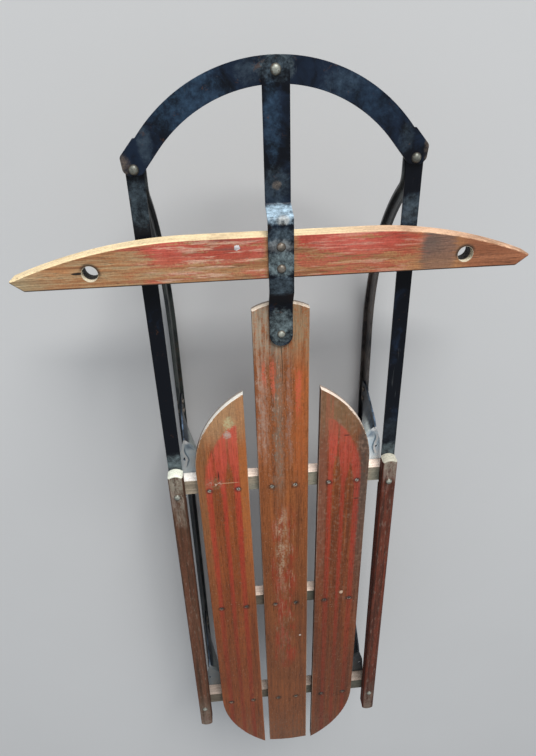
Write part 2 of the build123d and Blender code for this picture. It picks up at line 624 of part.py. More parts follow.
def knee_pair():
    """The right-hand front and rear knees in place."""
    return [on_line(Pos(0, dy, 0) * knee()) for dy in knee_stations()]


def runner_rivets():
    """Rivets through the knee feet and the runner web, both sides."""
    rivets = []
    head = SMALL_SHANK_R * 1.5
    length = STEEL + SHEET
    for dy in knee_stations():
        for y in foot_rivet_ys():
            one = Cylinder(SMALL_SHANK_R, length)
            one += Pos(0, 0, length / 2 + 0.8) * Cylinder(head, 1.6)
            one += Pos(0, 0, -length / 2 - 0.8) * Cylinder(head, 1.6)
            placed = on_line(Pos(-SHEET / 2, dy + y, foot_rivet_z()) * Rot(0, 90, 0) * one)
            rivets += [placed, mirrored(placed)]
    return rivets


def rail_bolts():
    """Bolts through rail, bench and knee tongue, with the side strap between at the front."""
    bolts = []
    for dy in knee_stations():
        one = on_line(rivet(RAIL_DX, dy, BENCH_BOTTOM - SHEET, RAIL_TOP, RAIL_HEAD_R, with_nut=True))
        bolts += [one, mirrored(one)]
    return bolts


def main():
    """Build every piece and write one STEP file each."""
    rail = side_rail()
    strap = side_strap()
    front_knee, rear_knee = knee_pair()
    rear_runner, front_runner = runner_halves()
    board = side_board()
    nodes = {
        "center_board": center_board(),
        "right_board": board, "left_board": mirrored(board),
        "front_bench": bench(FRONT_BENCH_Y, 0.0),
        "rear_bench": bench(REAR_BENCH_Y, REAR_BOLT_DY),
        "middle_cleat": middle_cleat(),
        "right_rail": rail, "left_rail": mirrored(rail),
        "right_front_knee": front_knee, "left_front_knee": mirrored(front_knee),
        "right_rear_knee": rear_knee, "left_rear_knee": mirrored(rear_knee),
        "right_runner_rear": rear_runner, "left_runner_rear": mirrored(rear_runner),
        "right_runner_front": front_runner, "left_runner_front": mirrored(front_runner),
        "runner_rivets": Compound(children=runner_rivets()),
        "rail_bolts": Compound(children=rail_bolts()),
        "pivot_rivet": pivot_rivet(),
        "steering_bar": steering_bar(),
        "steering_strap": steering_strap(),
        "bar_bolts": Compound(children=bar_bolts()),
        "bow": bow(),
        "bow_rivets": Compound(children=bow_rivets()),
        "right_side_strap": strap, "left_side_strap": mirrored(strap),
    }
    os.makedirs("parts", exist_ok=True)
    for name, shape in nodes.items():
        export_step(shape, "parts/" + name + ".step")


main()
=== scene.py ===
import json
import math

import bmesh
import bpy
from mathutils import Matrix, Vector


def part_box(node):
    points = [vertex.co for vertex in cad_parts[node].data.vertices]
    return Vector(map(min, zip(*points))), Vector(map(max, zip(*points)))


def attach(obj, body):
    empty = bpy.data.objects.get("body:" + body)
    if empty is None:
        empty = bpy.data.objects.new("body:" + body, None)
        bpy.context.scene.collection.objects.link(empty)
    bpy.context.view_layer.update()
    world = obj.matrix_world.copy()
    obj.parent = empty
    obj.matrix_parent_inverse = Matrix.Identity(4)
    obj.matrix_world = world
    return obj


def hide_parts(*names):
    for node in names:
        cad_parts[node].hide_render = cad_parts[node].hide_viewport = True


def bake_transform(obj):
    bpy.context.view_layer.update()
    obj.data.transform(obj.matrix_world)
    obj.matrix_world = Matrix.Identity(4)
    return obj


# Looks of a child's steerable snow sled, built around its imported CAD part.
# Metres. +Y points to the bow, +X to the rider's right, Z is up from the floor.

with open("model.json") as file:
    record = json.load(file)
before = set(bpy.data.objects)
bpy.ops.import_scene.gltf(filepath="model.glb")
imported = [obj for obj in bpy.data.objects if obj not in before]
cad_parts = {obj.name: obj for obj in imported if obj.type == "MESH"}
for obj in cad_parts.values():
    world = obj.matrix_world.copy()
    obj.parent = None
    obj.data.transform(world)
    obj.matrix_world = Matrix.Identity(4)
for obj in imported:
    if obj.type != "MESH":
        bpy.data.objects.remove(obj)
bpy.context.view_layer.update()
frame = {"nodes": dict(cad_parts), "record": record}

MM = 0.001
SIDES = (("left", -1), ("right", 1))


def middle_y(node):
    """Middle of a CAD node along the sled."""
    low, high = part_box(node)
    return (low.y + high.y) / 2


# Levels and places that are read from the CAD part
DECK_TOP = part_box("center_board")[1].z
BENCH_FRONT_Y = middle_y("front_bench")
CLEAT_Y = middle_y("middle_cleat")
BENCH_REAR_Y = middle_y("rear_bench")
RAIL_FRONT_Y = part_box("left_rail")[1].y
PIVOT_Y = middle_y("pivot_rivet")
BAR_LOW, BAR_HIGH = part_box("steering_bar")
BAR_Y = middle_y("steering_bar")
BOW_LOW, BOW_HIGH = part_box("bow")
RUNNER_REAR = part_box("right_runner_rear")
RUNNER_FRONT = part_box("right_runner_front")
MOUNTS = {mount["name"]: mount for mount in frame["record"]["mounts"]}
ROPE_HOLE = Vector(MOUNTS["right_rope_hole"]["pos_m"])
ROPE_HOLE_R = MOUNTS["right_rope_hole"]["dims"]["r_mm"] * MM


# Shader tools

class Value:
    """A number or a colour on its way through a shader, with arithmetic."""

    def __init__(self, paint, socket):
        self.paint = paint
        self.socket = socket

    def math(self, operation, *others):
        return self.paint.node("Math", {"operation": operation}, dict(enumerate((self, *others))))

    def reflected(self, operation, other):
        """The same with the other one in front."""
        return self.paint.node("Math", {"operation": operation}, {0: other, 1: self})

    def __add__(self, other):
        return self.math("ADD", other)

    def __radd__(self, other):
        return self.math("ADD", other)

    def __sub__(self, other):
        return self.math("SUBTRACT", other)

    def __rsub__(self, other):
        return self.reflected("SUBTRACT", other)

    def __mul__(self, other):
        return self.math("MULTIPLY", other)

    def __rmul__(self, other):
        return self.math("MULTIPLY", other)

    def __truediv__(self, other):
        return self.math("DIVIDE", other)

    def __rtruediv__(self, other):
        return self.reflected("DIVIDE", other)

    def __pow__(self, other):
        return self.math("POWER", other)

    def __rpow__(self, other):
        return self.reflected("POWER", other)

    def __abs__(self):
        return self.math("ABSOLUTE")

    def most(self, other):
        """The larger of the two."""
        return self.math("MAXIMUM", other)

    def least(self, other):
        """The smaller of the two."""
        return self.math("MINIMUM", other)

    def ramp(self, start, end):
        """0 at start and 1 at end, smooth between and level outside."""
        limits = {"Value": self, "From Min": start, "From Max": end}
        return self.paint.node("MapRange", {"interpolation_type": "SMOOTHSTEP"}, limits)


class Paint:
    """A material with one Principled shader, and the tools that feed it."""

    def __init__(self, name, **fixed):
        self.material = bpy.data.materials.new(name)
        self.material.use_nodes = True
        self.tree = self.material.node_tree
        self.shader = self.tree.nodes["Principled BSDF"]
        for socket, value in fixed.items():
            self.shader.inputs[socket.replace("_", " ")].default_value = value
        self.place = self.node("TexCoord", out="Object")
        self.x, self.y, self.z = self.split(self.place)

    def node(self, kind, settings=(), inputs=(), out=0):
        """Add a node; inputs may be values of the shader, numbers or colours."""
        made = self.tree.nodes.new("ShaderNode" + kind)
        for key, value in dict(settings).items():
            setattr(made, key, value)
        for key, value in dict(inputs).items():
            if isinstance(value, Value):
                self.tree.links.new(value.socket, made.inputs[key])
            else:
                made.inputs[key].default_value = value
        return Value(self, made.outputs[out])

    def split(self, vector):
        """The three numbers of a vector."""
        return [self.node("SeparateXYZ", inputs={0: vector}, out=axis) for axis in range(3)]

    def normal(self):
        """The piece's own surface direction, as three numbers."""
        return self.split(self.node("TexCoord", out="Normal"))

    def stretched(self, scale, shift=(0.0, 0.0, 0.0)):
        """Object coordinates scaled per axis, for patterns that run along a piece."""
        return self.node("Mapping", inputs={"Vector": self.place, "Scale": scale, "Location": shift})

    def noise(self, where, scale=1.0, detail=3.0, rough=0.5, swirl=0.0):
        """A cloudy pattern between 0 and 1."""
        settings = {"Vector": where, "Scale": scale, "Detail": detail, "Roughness": rough}
        return self.node("TexNoise", inputs={**settings, "Distortion": swirl})

    def part(self, name):
        """A number stored on the mesh, such as the eased edges."""
        return self.node("Attribute", {"attribute_name": name}, out="Fac")

    def mix(self, first, second, share):
        """The second colour laid over the first one by its share."""
        return self.node("Mix", {"data_type": "RGBA"}, {0: share, 6: first, 7: second}, out=2)

    def scaled(self, colour, share):
        """A colour made darker or lighter."""
        vector = colour if isinstance(colour, Value) else colour[:3]
        return self.node("VectorMath", {"operation": "SCALE"}, {"Vector": vector, "Scale": share})

    def feed(self, **values):
        """Link values to the sockets of the shader."""
        for socket, value in values.items():
            self.tree.links.new(value.socket, self.shader.inputs[socket.replace("_", " ")])

    def bump(self, height, distance, strength=1.0):
        """Feed the surface direction from a height between 0 and 1 and its real depth."""
        settings = {"Height": height, "Distance": distance, "Strength": strength}
        self.feed(Normal=self.node("Bump", inputs=settings))


def rgb(red, green, blue):
    """A colour in the four numbers that a socket takes."""
    return (red, green, blue, 1.0)


def near(paint, place, wide, long):
    """1 at a place in plan, falling to 0 at the given reach across and along."""
    across = (paint.x - place[0]) / wide
    along = (paint.y - place[1]) / long
    return (across * across + along * along).ramp(1.0, 0.0)


# Wood: dark, brown and orange varnish, then bare and painted tones

SIDE_TONES = (rgb(0.070, 0.028, 0.017), rgb(0.165, 0.046, 0.018), rgb(0.400, 0.108, 0.028))
CENTER_TONES = (rgb(0.058, 0.023, 0.012), rgb(0.155, 0.052, 0.021), rgb(0.380, 0.120, 0.034))
GREY_WOOD = rgb(0.200, 0.140, 0.100)
PALE_WOOD = rgb(0.640, 0.500, 0.370)
CREAM_WOOD = rgb(0.820, 0.700, 0.580)
PALE_CHIP = rgb(0.62, 0.47, 0.36)
RED_PAINT = rgb(0.440, 0.046, 0.026)
PINK_RED = rgb(0.570, 0.090, 0.060)
OLD_RED = rgb(0.200, 0.034, 0.016)
# Dark colour for real dirt, gouges, dents, cracks and the split, and also for painted shade in the screw
# recesses, round the screw holes and on the screw heads' sides
GRIME_AND_SHADE = rgb(0.022, 0.016, 0.012)
END_LOWER_GREY = rgb(0.17, 0.135, 0.115)

VARNISH_GLOSS = 0.2
GRAIN_DEPTH = 0.7 * MM

# How far a surface turns up or down: where a finish begins, and where it is whole
UPWARD = (0.6, 0.9)
DOWNWARD = (-0.2, -0.6)


class Grain:
    """Streaks, fibres, flecks, pores and blotches of a piece of wood that runs along one axis."""

    def __init__(self, paint, along, seed):
        def lengthways(across, lengthwise):
            scale = [across, across, across]
            scale[along] = lengthwise
            return paint.stretched(scale, (seed * 0.37, seed * 0.61, seed * 0.23))
        sway = paint.noise(lengthways(9, 2.2), detail=2)
        self.broad = paint.noise(lengthways(52, 1.8), detail=3, rough=0.6)
        self.streak = paint.noise(lengthways(260, 5), detail=4, rough=0.65, swirl=0.1)
        self.fibre = paint.noise(lengthways(760, 17), detail=3, rough=0.65)
        self.fleck = paint.noise(lengthways(640, 60), detail=2, rough=0.6).ramp(0.60, 0.72)
        rings = (self.broad * 30 + sway * 8).math("SINE") * 0.5 + 0.5
        self.ring = rings.ramp(0.35, 1.0)
        self.pore = paint.noise(lengthways(1500, 46), detail=1).ramp(0.64, 0.72)
        self.blotch = paint.noise(paint.place, 14, detail=5, rough=0.62)
        self.mottle = paint.noise(lengthways(150, 42), detail=4, rough=0.65)
        self.speck = paint.noise(paint.place, 420, detail=3, rough=0.7)
        self.ragged = self.mottle * 0.5 + self.speck * 0.4 + self.streak * 0.4
        self.shade = 1.35 - self.fibre * 0.7


def grained(paint, grain, dark, light, share=0.55):
    """Two wood tones laid in streaks, with rings, dark fibres, flecks and pores."""
    tone = (grain.streak * 0.7 + grain.broad * 0.4 + grain.mottle * 0.25 + share - 0.72).ramp(0.28, 0.82)
    colour = paint.mix(dark, light, tone)
    colour = paint.scaled(colour, 1.35 - grain.fibre * 0.56 - grain.ring * 0.13)
    return paint.scaled(colour, 1.0 - grain.fleck * 0.26 - grain.pore * 0.25)


def wood_finish(paint, grain, colour, worn, rough=0.5):
    """Sheen and relief that every wooden piece shares."""
    dulled = grain.blotch * 0.16 + grain.fibre * 0.16 + worn * 0.22
    speckled = paint.scaled(colour, 1.64 - grain.speck * 0.85 - grain.mottle * 0.43)
    paint.feed(Base_Color=speckled, Roughness=dulled + (rough - 0.14))
    relief = grain.fibre * 0.6 + grain.streak * 0.35 - grain.pore * 0.5 - grain.fleck * 0.3 - worn * 0.25
    paint.bump(relief, GRAIN_DEPTH, 0.9)


# Screws in the boards: a row over each bench and the cleat, two screws to a board in every row
SCREW_ROWS = (BENCH_FRONT_Y, CLEAT_Y, BENCH_REAR_Y)
CENTER_SCREW_XS = (-15 * MM, 15 * MM)
SIDE_SCREW_XS = (58.3 * MM, 95.2 * MM)
SCREW_SINK = 1.6 * MM
SCREW_HOLE_R = 3.0 * MM
SCREW_HEAD_R = 2.4 * MM
SCREW_SLOT = 0.8 * MM
SCREW_SIDES = 18


def nearest(value, lines):
    """Distance to the nearest of a few lines."""
    gap, *others = [abs(value - line) for line in lines]
    for other in others:
        gap = gap.least(other)
    return gap


def screw_gap(paint, xs):
    """Distance in plan to the nearest screw."""
    across = nearest(paint.x, xs)
    along = nearest(paint.y, SCREW_ROWS)
    return (across * across + along * along).math("SQRT")


def board_base(paint, grain, tones, share, gap):
    """Varnished board: browner and dustier to the rear, with pale pinhead chips all over."""
    rearward = paint.y.ramp(0.24, -0.30)
    dark, brown, orange = tones
    colour = grained(paint, grain, brown, orange, share)
    old = grained(paint, grain, dark, brown, share + 0.15)
    colour = paint.mix(colour, old, (rearward * 0.66 + (grain.blotch - 0.5) * 0.7).most(0.0))
    tail = (paint.y + (grain.streak - 0.5) * 0.08).ramp(BENCH_REAR_Y - 10 * MM, BENCH_REAR_Y - 120 * MM)
    dust = tail * 0.28 + paint.y.ramp(-0.10, -0.36) * 0.10
    colour = paint.mix(colour, GREY_WOOD, dust * grain.speck.ramp(0.32, 0.62))
    chips = paint.noise(paint.place, 700, detail=2).ramp(0.68, 0.73) * grain.blotch.ramp(0.35, 0.6)
    colour = paint.mix(colour, PALE_CHIP, chips * 0.6)
    # Speckled dirt and painted shade round each screw hole
    dirt_and_shade = gap.ramp(7.5 * MM, 3.0 * MM) * grain.speck.ramp(0.2, 0.6)
    colour = paint.mix(colour, GRIME_AND_SHADE, dirt_and_shade * 0.75)
    # Painted shade on the countersink walls below the board's top
    recess_shade = gap.ramp(SCREW_HOLE_R + 0.3 * MM, SCREW_HOLE_R) * paint.z.ramp(DECK_TOP, DECK_TOP - 0.3 * MM)
    return paint.mix(colour, GRIME_AND_SHADE, recess_shade)


def sawn_front(paint, colour, grain, gap, clean=CREAM_WOOD):
    """Bare wood where the board's end faces the bow, with a darker grey band along its lower edge."""
    facing = paint.normal()[1].ramp(0.28, 0.5) * gap.ramp(SCREW_HOLE_R, SCREW_HOLE_R + 2 * MM)
    bare = paint.mix(PALE_WOOD, clean, grain.speck.ramp(0.22, 0.50))
    bare = paint.mix(bare, GREY_WOOD, grain.blotch.ramp(0.60, 0.76) * 0.6)
    low = (paint.z + (grain.speck - 0.5) * 2 * MM).ramp(DECK_TOP - 5.2 * MM, DECK_TOP - 7.2 * MM)
    bare = paint.mix(bare, END_LOWER_GREY, low * 0.85)
    return paint.mix(colour, bare, facing)


def board_edges(paint, colour, grain):
    """Varnish rubbed through along the rounded top edges, and dull brown sides."""
    up = paint.normal()[2]
    edge = up.ramp(0.97, 0.9) * up.ramp(0.15, 0.4)
    rubbed = edge * (grain.streak + grain.speck * 0.5).ramp(0.62, 0.95)
    colour = paint.mix(colour, PALE_WOOD, rubbed * 0.6)
    side = up.ramp(0.4, 0.1)
    return paint.mix(colour, paint.scaled(colour, 0.55), side)


# Red paint of a side board: a pointed head that runs into three stripes
RED_INNER = 56.5 * MM
RED_OUTER = 99.0 * MM
RED_HEAD_Y = 70 * MM
RED_HEAD_LONG = 92 * MM
RED_GAPS = (    # middle, half width, front end
    (68.6 * MM, 5.2 * MM, 118 * MM),
    (85.6 * MM, 5.8 * MM, 96 * MM),
)


def striped_red(paint, grain):
    """Share of red paint left on a side board."""
    ragged = (grain.fibre - 0.5) * 4 * MM + (grain.streak - 0.5) * 4 * MM + (grain.speck - 0.5) * 5 * MM
    out = abs(paint.x) + ragged
    ahead = ((paint.y - RED_HEAD_Y) / RED_HEAD_LONG).most(0.0)
    arch = (1.0 - ahead * ahead).most(0.0) ** 0.75
    reach = arch * (RED_OUTER - RED_INNER) + RED_INNER
    red = (reach - out).ramp(-2.5 * MM, 2.5 * MM) * (out - RED_INNER).ramp(-1.8 * MM, 1.4 * MM)
    red = red * (RED_HEAD_Y + RED_HEAD_LONG - paint.y + ragged).ramp(0.0, 4 * MM)
    for middle, half, front in RED_GAPS:
        width = (front - paint.y).ramp(0.0, 45 * MM) * half
        red = red * (width - abs(out - middle)).ramp(1.4 * MM, -2.0 * MM)
    return red


def red_pigment(paint, grain, wear, fade):
    """The red itself: pink in the worn head, old and dark to the rear, rubbed to wood in places."""
    pigment = paint.mix(RED_PAINT, PINK_RED, paint.y.ramp(0.02, 0.12) * grain.ragged.ramp(0.42, 0.72))
    pigment = paint.mix(pigment, OLD_RED, (fade * 0.95 + (grain.blotch - 0.5) * 0.4).most(0.0).least(1.0))
    pigment = paint.mix(pigment, PALE_WOOD, grain.speck.ramp(0.60, 0.72) * (0.06 + wear * 0.3))
    return paint.scaled(pigment, 1.30 - wear * 0.22 - grain.fibre * 0.42 - grain.fleck * 0.22)


# How the two side boards differ: share of orange, how worn, then the colours of tip, outer margin,
# inner margin and end face
SIDE_LOOKS = {
    "left": (0.66, 0.10, rgb(0.460, 0.265, 0.135), rgb(0.270, 0.122, 0.048), rgb(0.420, 0.138, 0.040),
             rgb(0.860, 0.840, 0.780)),
    "right": (0.48, 0.50, rgb(0.235, 0.140, 0.074), rgb(0.105, 0.074, 0.057), rgb(0.225, 0.086, 0.052),
              rgb(0.880, 0.740, 0.640)),
}
DAB_BROWN = rgb(0.400, 0.250, 0.175)


def bare_margins(paint, grain, colour, wear, tones):
    """Wood beside the red paint: the board's tip, its outer and inner margins, and its grey outer edge."""
    tip_tone, outer_tone, inner_tone = tones
    out = abs(paint.x)
    tip = (paint.y + (grain.mottle - 0.5) * 0.06).ramp(0.10, 0.17)
    tip_share = tip * grain.ragged.ramp(0.34, 0.60) * 0.9
    colour = paint.mix(colour, paint.scaled(tip_tone, grain.shade), tip_share)
    margin = (out + (grain.mottle - 0.5) * 16 * MM).ramp(88 * MM, 101 * MM) * paint.y.ramp(-0.26, 0.06)
    margin = margin * grain.ragged.ramp(0.42, 0.62)
    colour = paint.mix(colour, paint.scaled(outer_tone, grain.shade), margin * (0.65 + wear * 0.5))
    inner = out.ramp(RED_INNER + 1 * MM, RED_INNER - 3 * MM) * paint.y.ramp(-0.22, 0.02) * (1.0 - tip * 0.7)
    inner = inner * grain.ragged.ramp(0.40, 0.62)
    colour = paint.mix(colour, paint.scaled(inner_tone, grain.shade), inner * 0.85)
    bare = out.ramp(98 * MM, 109 * MM) * (grain.streak + grain.mottle * 0.4 + wear * 0.3).ramp(0.78, 1.15)
    return paint.mix(colour, GREY_WOOD, bare * (0.2 + wear * 0.6))


def dabbed(paint, grain, colour, wear, fade, red):
    """Brown dabs beside the red, and dark flecks where the board is worn."""
    dabs = paint.noise(paint.place, 210, detail=4, rough=0.7)
    spots = (dabs + grain.fibre * 0.3 + grain.mottle * 0.5).ramp(0.90, 1.12)
    spots = spots * (1.0 - fade * 0.85) * (1.15 - red)
    colour = paint.mix(colour, DAB_BROWN, spots * (0.08 + wear * 0.66))
    dark = (dabs + grain.blotch * 0.4 + grain.fibre * 0.4).ramp(0.84, 0.66)
    return paint.mix(colour, paint.scaled(colour, 0.5), dark * wear * 0.9)


def side_board_paint(side):
    """Side board: orange varnish, red head and stripes, both worn through in places."""
    sign = dict(SIDES)[side]
    share, wear, *margin_tones, end_tone = SIDE_LOOKS[side]
    paint = Paint(side + "_board_wood", Specular_IOR_Level=VARNISH_GLOSS)
    grain = Grain(paint, 1, 3.1 + sign)
    gap = screw_gap(paint, [sign * x for x in SIDE_SCREW_XS])
    plain = board_base(paint, grain, SIDE_TONES, share, gap)
    colour = bare_margins(paint, grain, plain, wear, margin_tones)
    fade = paint.y.ramp(0.10, -0.40)
    kept = grain.streak * 0.7 + grain.mottle * 0.5 + grain.speck * 0.25
    kept = kept.ramp(0.46 + wear * 0.12, 0.84 + wear * 0.08)
    red = striped_red(paint, grain) * (kept * 0.58 + 0.42) * (1.0 - fade * 0.15)
    colour = paint.mix(colour, red_pigment(paint, grain, wear, fade), red * 0.92)
    colour = dabbed(paint, grain, colour, wear, fade, red)
    if side == "left":
        colour = left_board_marks(paint, grain, colour)
    else:
        colour = right_board_marks(paint, grain, colour)
    # Dirt and painted shade round the screw holes
    colour = paint.mix(colour, GRIME_AND_SHADE, gap.ramp(6.0 * MM, 3.0 * MM) * 0.55)
    colour = paint.mix(colour, plain, paint.normal()[2].ramp(*DOWNWARD))
    colour = board_edges(paint, colour, grain)
    wood_finish(paint, grain, sawn_front(paint, colour, grain, gap, end_tone), 0.5 - red * 0.5, 0.46)
    return paint.material


# Marks on the side boards: scuffs in the left head, a dark gouge by a screw, chips and scratches
SCUFFS = (      # place, reach across and along, colour
    ((-65 * MM, 164 * MM), 9 * MM, 12 * MM, rgb(0.56, 0.50, 0.28)),
    ((-67.3 * MM, 147 * MM), 6.5 * MM, 8 * MM, rgb(0.52, 0.42, 0.36)),
)
GOUGE_AT = (-82 * MM, 84 * MM)
CHIPS_AT = (-88 * MM, 72.5 * MM)
CHIPS_BROWN = rgb(0.24, 0.16, 0.09)
CHIPS_PINK = rgb(0.72, 0.52, 0.44)
LINE_AT = (CHIPS_AT[0] + 19 * MM, CHIPS_AT[1])
LINE_BROWN = rgb(0.60, 0.34, 0.20)
SCRATCH_AT = (-54.4 * MM, -385 * MM)
SCRATCH_YELLOW = rgb(0.62, 0.42, 0.17)
DENTS_AT = ((79 * MM, 134 * MM), (96 * MM, 30 * MM))
RUDDY = rgb(0.340, 0.120, 0.068)
LONE_CHIP_AT = (82.8 * MM, -153 * MM)
LONE_CHIP = rgb(0.62, 0.45, 0.33)


def left_board_marks(paint, grain, colour):
    """Soft scuffs in the head, a gouge, chips and a line by the front screws, and a scratch at the rear."""
    lumps = paint.noise(paint.place, 330, detail=4, rough=0.72)
    for place, wide, long, tone in SCUFFS:
        broken = near(paint, place, wide, long) + (lumps - 0.5) * 2.6 + (grain.speck - 0.5) * 2.4
        within = near(paint, place, wide * 1.3, long * 1.3).ramp(0.0, 0.6)
        colour = paint.mix(colour, tone, broken.ramp(0.20, 1.15) * within * 0.8)
    gouge = near(paint, GOUGE_AT, 1.4 * MM, 11 * MM)
    colour = paint.mix(colour, GRIME_AND_SHADE, gouge * 0.85)
    chipped = near(paint, CHIPS_AT, 15 * MM, 13 * MM) * lumps.ramp(0.40, 0.60)
    colour = paint.mix(colour, CHIPS_BROWN, chipped * 0.8)
    torn = near(paint, CHIPS_AT, 11 * MM, 4 * MM).ramp(0.0, 0.6) * lumps.ramp(0.50, 0.60)
    colour = paint.mix(colour, CHIPS_PINK, torn * 0.9)
    line = near(paint, LINE_AT, 15 * MM, 0.9 * MM)
    colour = paint.mix(colour, LINE_BROWN, line.ramp(0.0, 0.5) * 0.7)
    scratch = near(paint, SCRATCH_AT, 9 * MM, 34 * MM) * grain.fibre.ramp(0.55, 0.66)
    scratch = scratch * lumps.ramp(0.42, 0.60)
    return paint.mix(colour, SCRATCH_YELLOW, scratch)


def right_board_marks(paint, grain, colour):
    """Two dark dents, ruddy streaks at the tip, and one pale chip."""
    for place in DENTS_AT:
        colour = paint.mix(colour, GRIME_AND_SHADE, near(paint, place, 5 * MM, 1.6 * MM) * 0.7)
    ruddy = grain.streak.ramp(0.46, 0.60) * paint.y.ramp(0.12, 0.16) * paint.x.ramp(90 * MM, 72 * MM)
    colour = paint.mix(colour, RUDDY, ruddy * 0.7)
    chip = (near(paint, LONE_CHIP_AT, 4 * MM, 5 * MM) + (grain.speck - 0.5) * 1.5).ramp(0.45, 0.75)
    within = near(paint, LONE_CHIP_AT, 6 * MM, 7 * MM).ramp(0.0, 0.3)
    return paint.mix(colour, LONE_CHIP, chip * within)


# Centre board: tan by the strap, then columns of worn colour, then worn patches with no shape
TAN_YS = (220 * MM, 275 * MM)
TAN_RIGHT = rgb(0.365, 0.260, 0.155)
TAN_LEFT = rgb(0.440, 0.385, 0.290)
COLUMN_FADE = 70 * MM
COLUMNS = (     # middle, half width, rear end, colour, share
    (-23 * MM, 9 * MM, 120 * MM, rgb(0.480, 0.335, 0.265), 0.80),
    (-5 * MM, 9 * MM, 50 * MM, rgb(0.250, 0.200, 0.150), 0.85),
    (8 * MM, 4 * MM, 110 * MM, rgb(0.360, 0.230, 0.185), 0.60),
    (21 * MM, 9 * MM, 60 * MM, rgb(0.500, 0.130, 0.036), 0.75),
)
WORN_ORANGE = rgb(0.360, 0.120, 0.045)
COLUMN_CHIP = rgb(0.60, 0.43, 0.34)
RED_STREAKS = (     # middle, half width, rear end, front end
    (-20 * MM, 2.4 * MM, 212 * MM, 238 * MM),
    (-10.5 * MM, 2.8 * MM, 196 * MM, 240 * MM),
    (19.5 * MM, 3.2 * MM, 172 * MM, 230 * MM),
)
STREAK_RED = rgb(0.66, 0.135, 0.070)
PATCH_YS = (-320 * MM, 20 * MM)
PATCH_HALF = 17 * MM
PATCH_RED = rgb(0.330, 0.036, 0.018)
PATCH_PALE = rgb(0.500, 0.345, 0.230)
WHITE_DOT_AT = (21.6 * MM, -245 * MM)
WHITE_DOT = rgb(0.72, 0.68, 0.62)


def center_board_paint():
    """Centre board: brown varnish, tan in front, worn colour down its middle and a crack by the pivot."""
    paint = Paint("center_board_wood", Specular_IOR_Level=VARNISH_GLOSS)
    grain = Grain(paint, 1, 7.7)
    gap = screw_gap(paint, CENTER_SCREW_XS)
    plain = board_base(paint, grain, CENTER_TONES, 0.62, gap)
    tan = (paint.y + (grain.streak - 0.5) * 0.05).ramp(*TAN_YS) * grain.ragged.ramp(0.50, 0.76)
    leftward = paint.x.ramp(12 * MM, -12 * MM)
    tan_tone = paint.mix(TAN_RIGHT, TAN_LEFT, leftward)
    colour = paint.mix(plain, paint.scaled(tan_tone, grain.shade), tan * 0.85)
    colour = worn_columns(paint, grain, colour)
    colour = red_streaks(paint, grain, colour)
    colour = worn_patches(paint, grain, colour)
    dot = near(paint, WHITE_DOT_AT, 2.4 * MM, 2.4 * MM).ramp(0.2, 0.8)
    colour = paint.mix(colour, WHITE_DOT, dot * 0.7)
    drift = paint.noise(paint.stretched((0, 22, 0), (0.0, 0.4, 0.0)), detail=3)
    crack = abs(paint.x + (drift - 0.5) * 5 * MM).ramp(0.6 * MM, 0.25 * MM)
    crack = crack * paint.y.ramp(0.20, 0.225) * paint.y.ramp(0.268, 0.262)
    colour = paint.mix(colour, GRIME_AND_SHADE, crack * 0.8)
    colour = paint.mix(colour, plain, paint.normal()[2].ramp(*DOWNWARD))
    colour = board_edges(paint, colour, grain)
    wood_finish(paint, grain, sawn_front(paint, colour, grain, gap), tan, 0.5)
    return paint.material


def worn_columns(paint, grain, colour):
    """Pink, grey-green and orange columns that run back from the strap's end, dotted with pale chips."""
    across = paint.x + (grain.mottle - 0.5) * 18 * MM + (grain.speck - 0.5) * 14 * MM
    along = paint.y + (grain.streak - 0.5) * 0.10
    front = paint.y.ramp(TAN_YS[1] - 5 * MM, TAN_YS[0])
    for middle, half, rear, tone, share in COLUMNS:
        column = abs(across - middle).ramp(half, half * 0.3) * grain.ragged.ramp(0.44, 0.78)
        column = column * front * along.ramp(rear - COLUMN_FADE / 2, rear + COLUMN_FADE / 2)
        colour = paint.mix(colour, paint.scaled(tone, 1.3 - grain.fibre * 0.6), column * share)
    lumps = paint.noise(paint.stretched((360, 130, 360), (0.3, 0.1, 0.0)), detail=5, rough=0.72)
    gone = lumps.ramp(0.50, 0.38) * front * along.ramp(0.0, 0.12)
    colour = paint.mix(colour, WORN_ORANGE, gone * 0.75)
    chips = lumps.ramp(0.56, 0.66) * front * along.ramp(0.02, 0.14) * paint.x.ramp(26 * MM, 8 * MM)
    return paint.mix(colour, COLUMN_CHIP, chips * 0.40)


def red_streaks(paint, grain, colour):
    """What is left of red paint beside the strap's end."""
    across = paint.x + (grain.mottle - 0.5) * 8 * MM + (grain.speck - 0.5) * 5 * MM
    along = paint.y + (grain.streak - 0.5) * 0.05
    for middle, half, rear, front in RED_STREAKS:
        streak = abs(across - middle).ramp(half + 1.2 * MM, half - 1.4 * MM)
        streak = streak * along.ramp(rear - 12 * MM, rear + 10 * MM)
        streak = streak * along.ramp(front + 6 * MM, front - 6 * MM)
        streak = streak * (grain.fibre * 0.6 + grain.speck * 0.7).ramp(0.50, 0.76)
        colour = paint.mix(colour, STREAK_RED, streak * 0.9)
    return colour


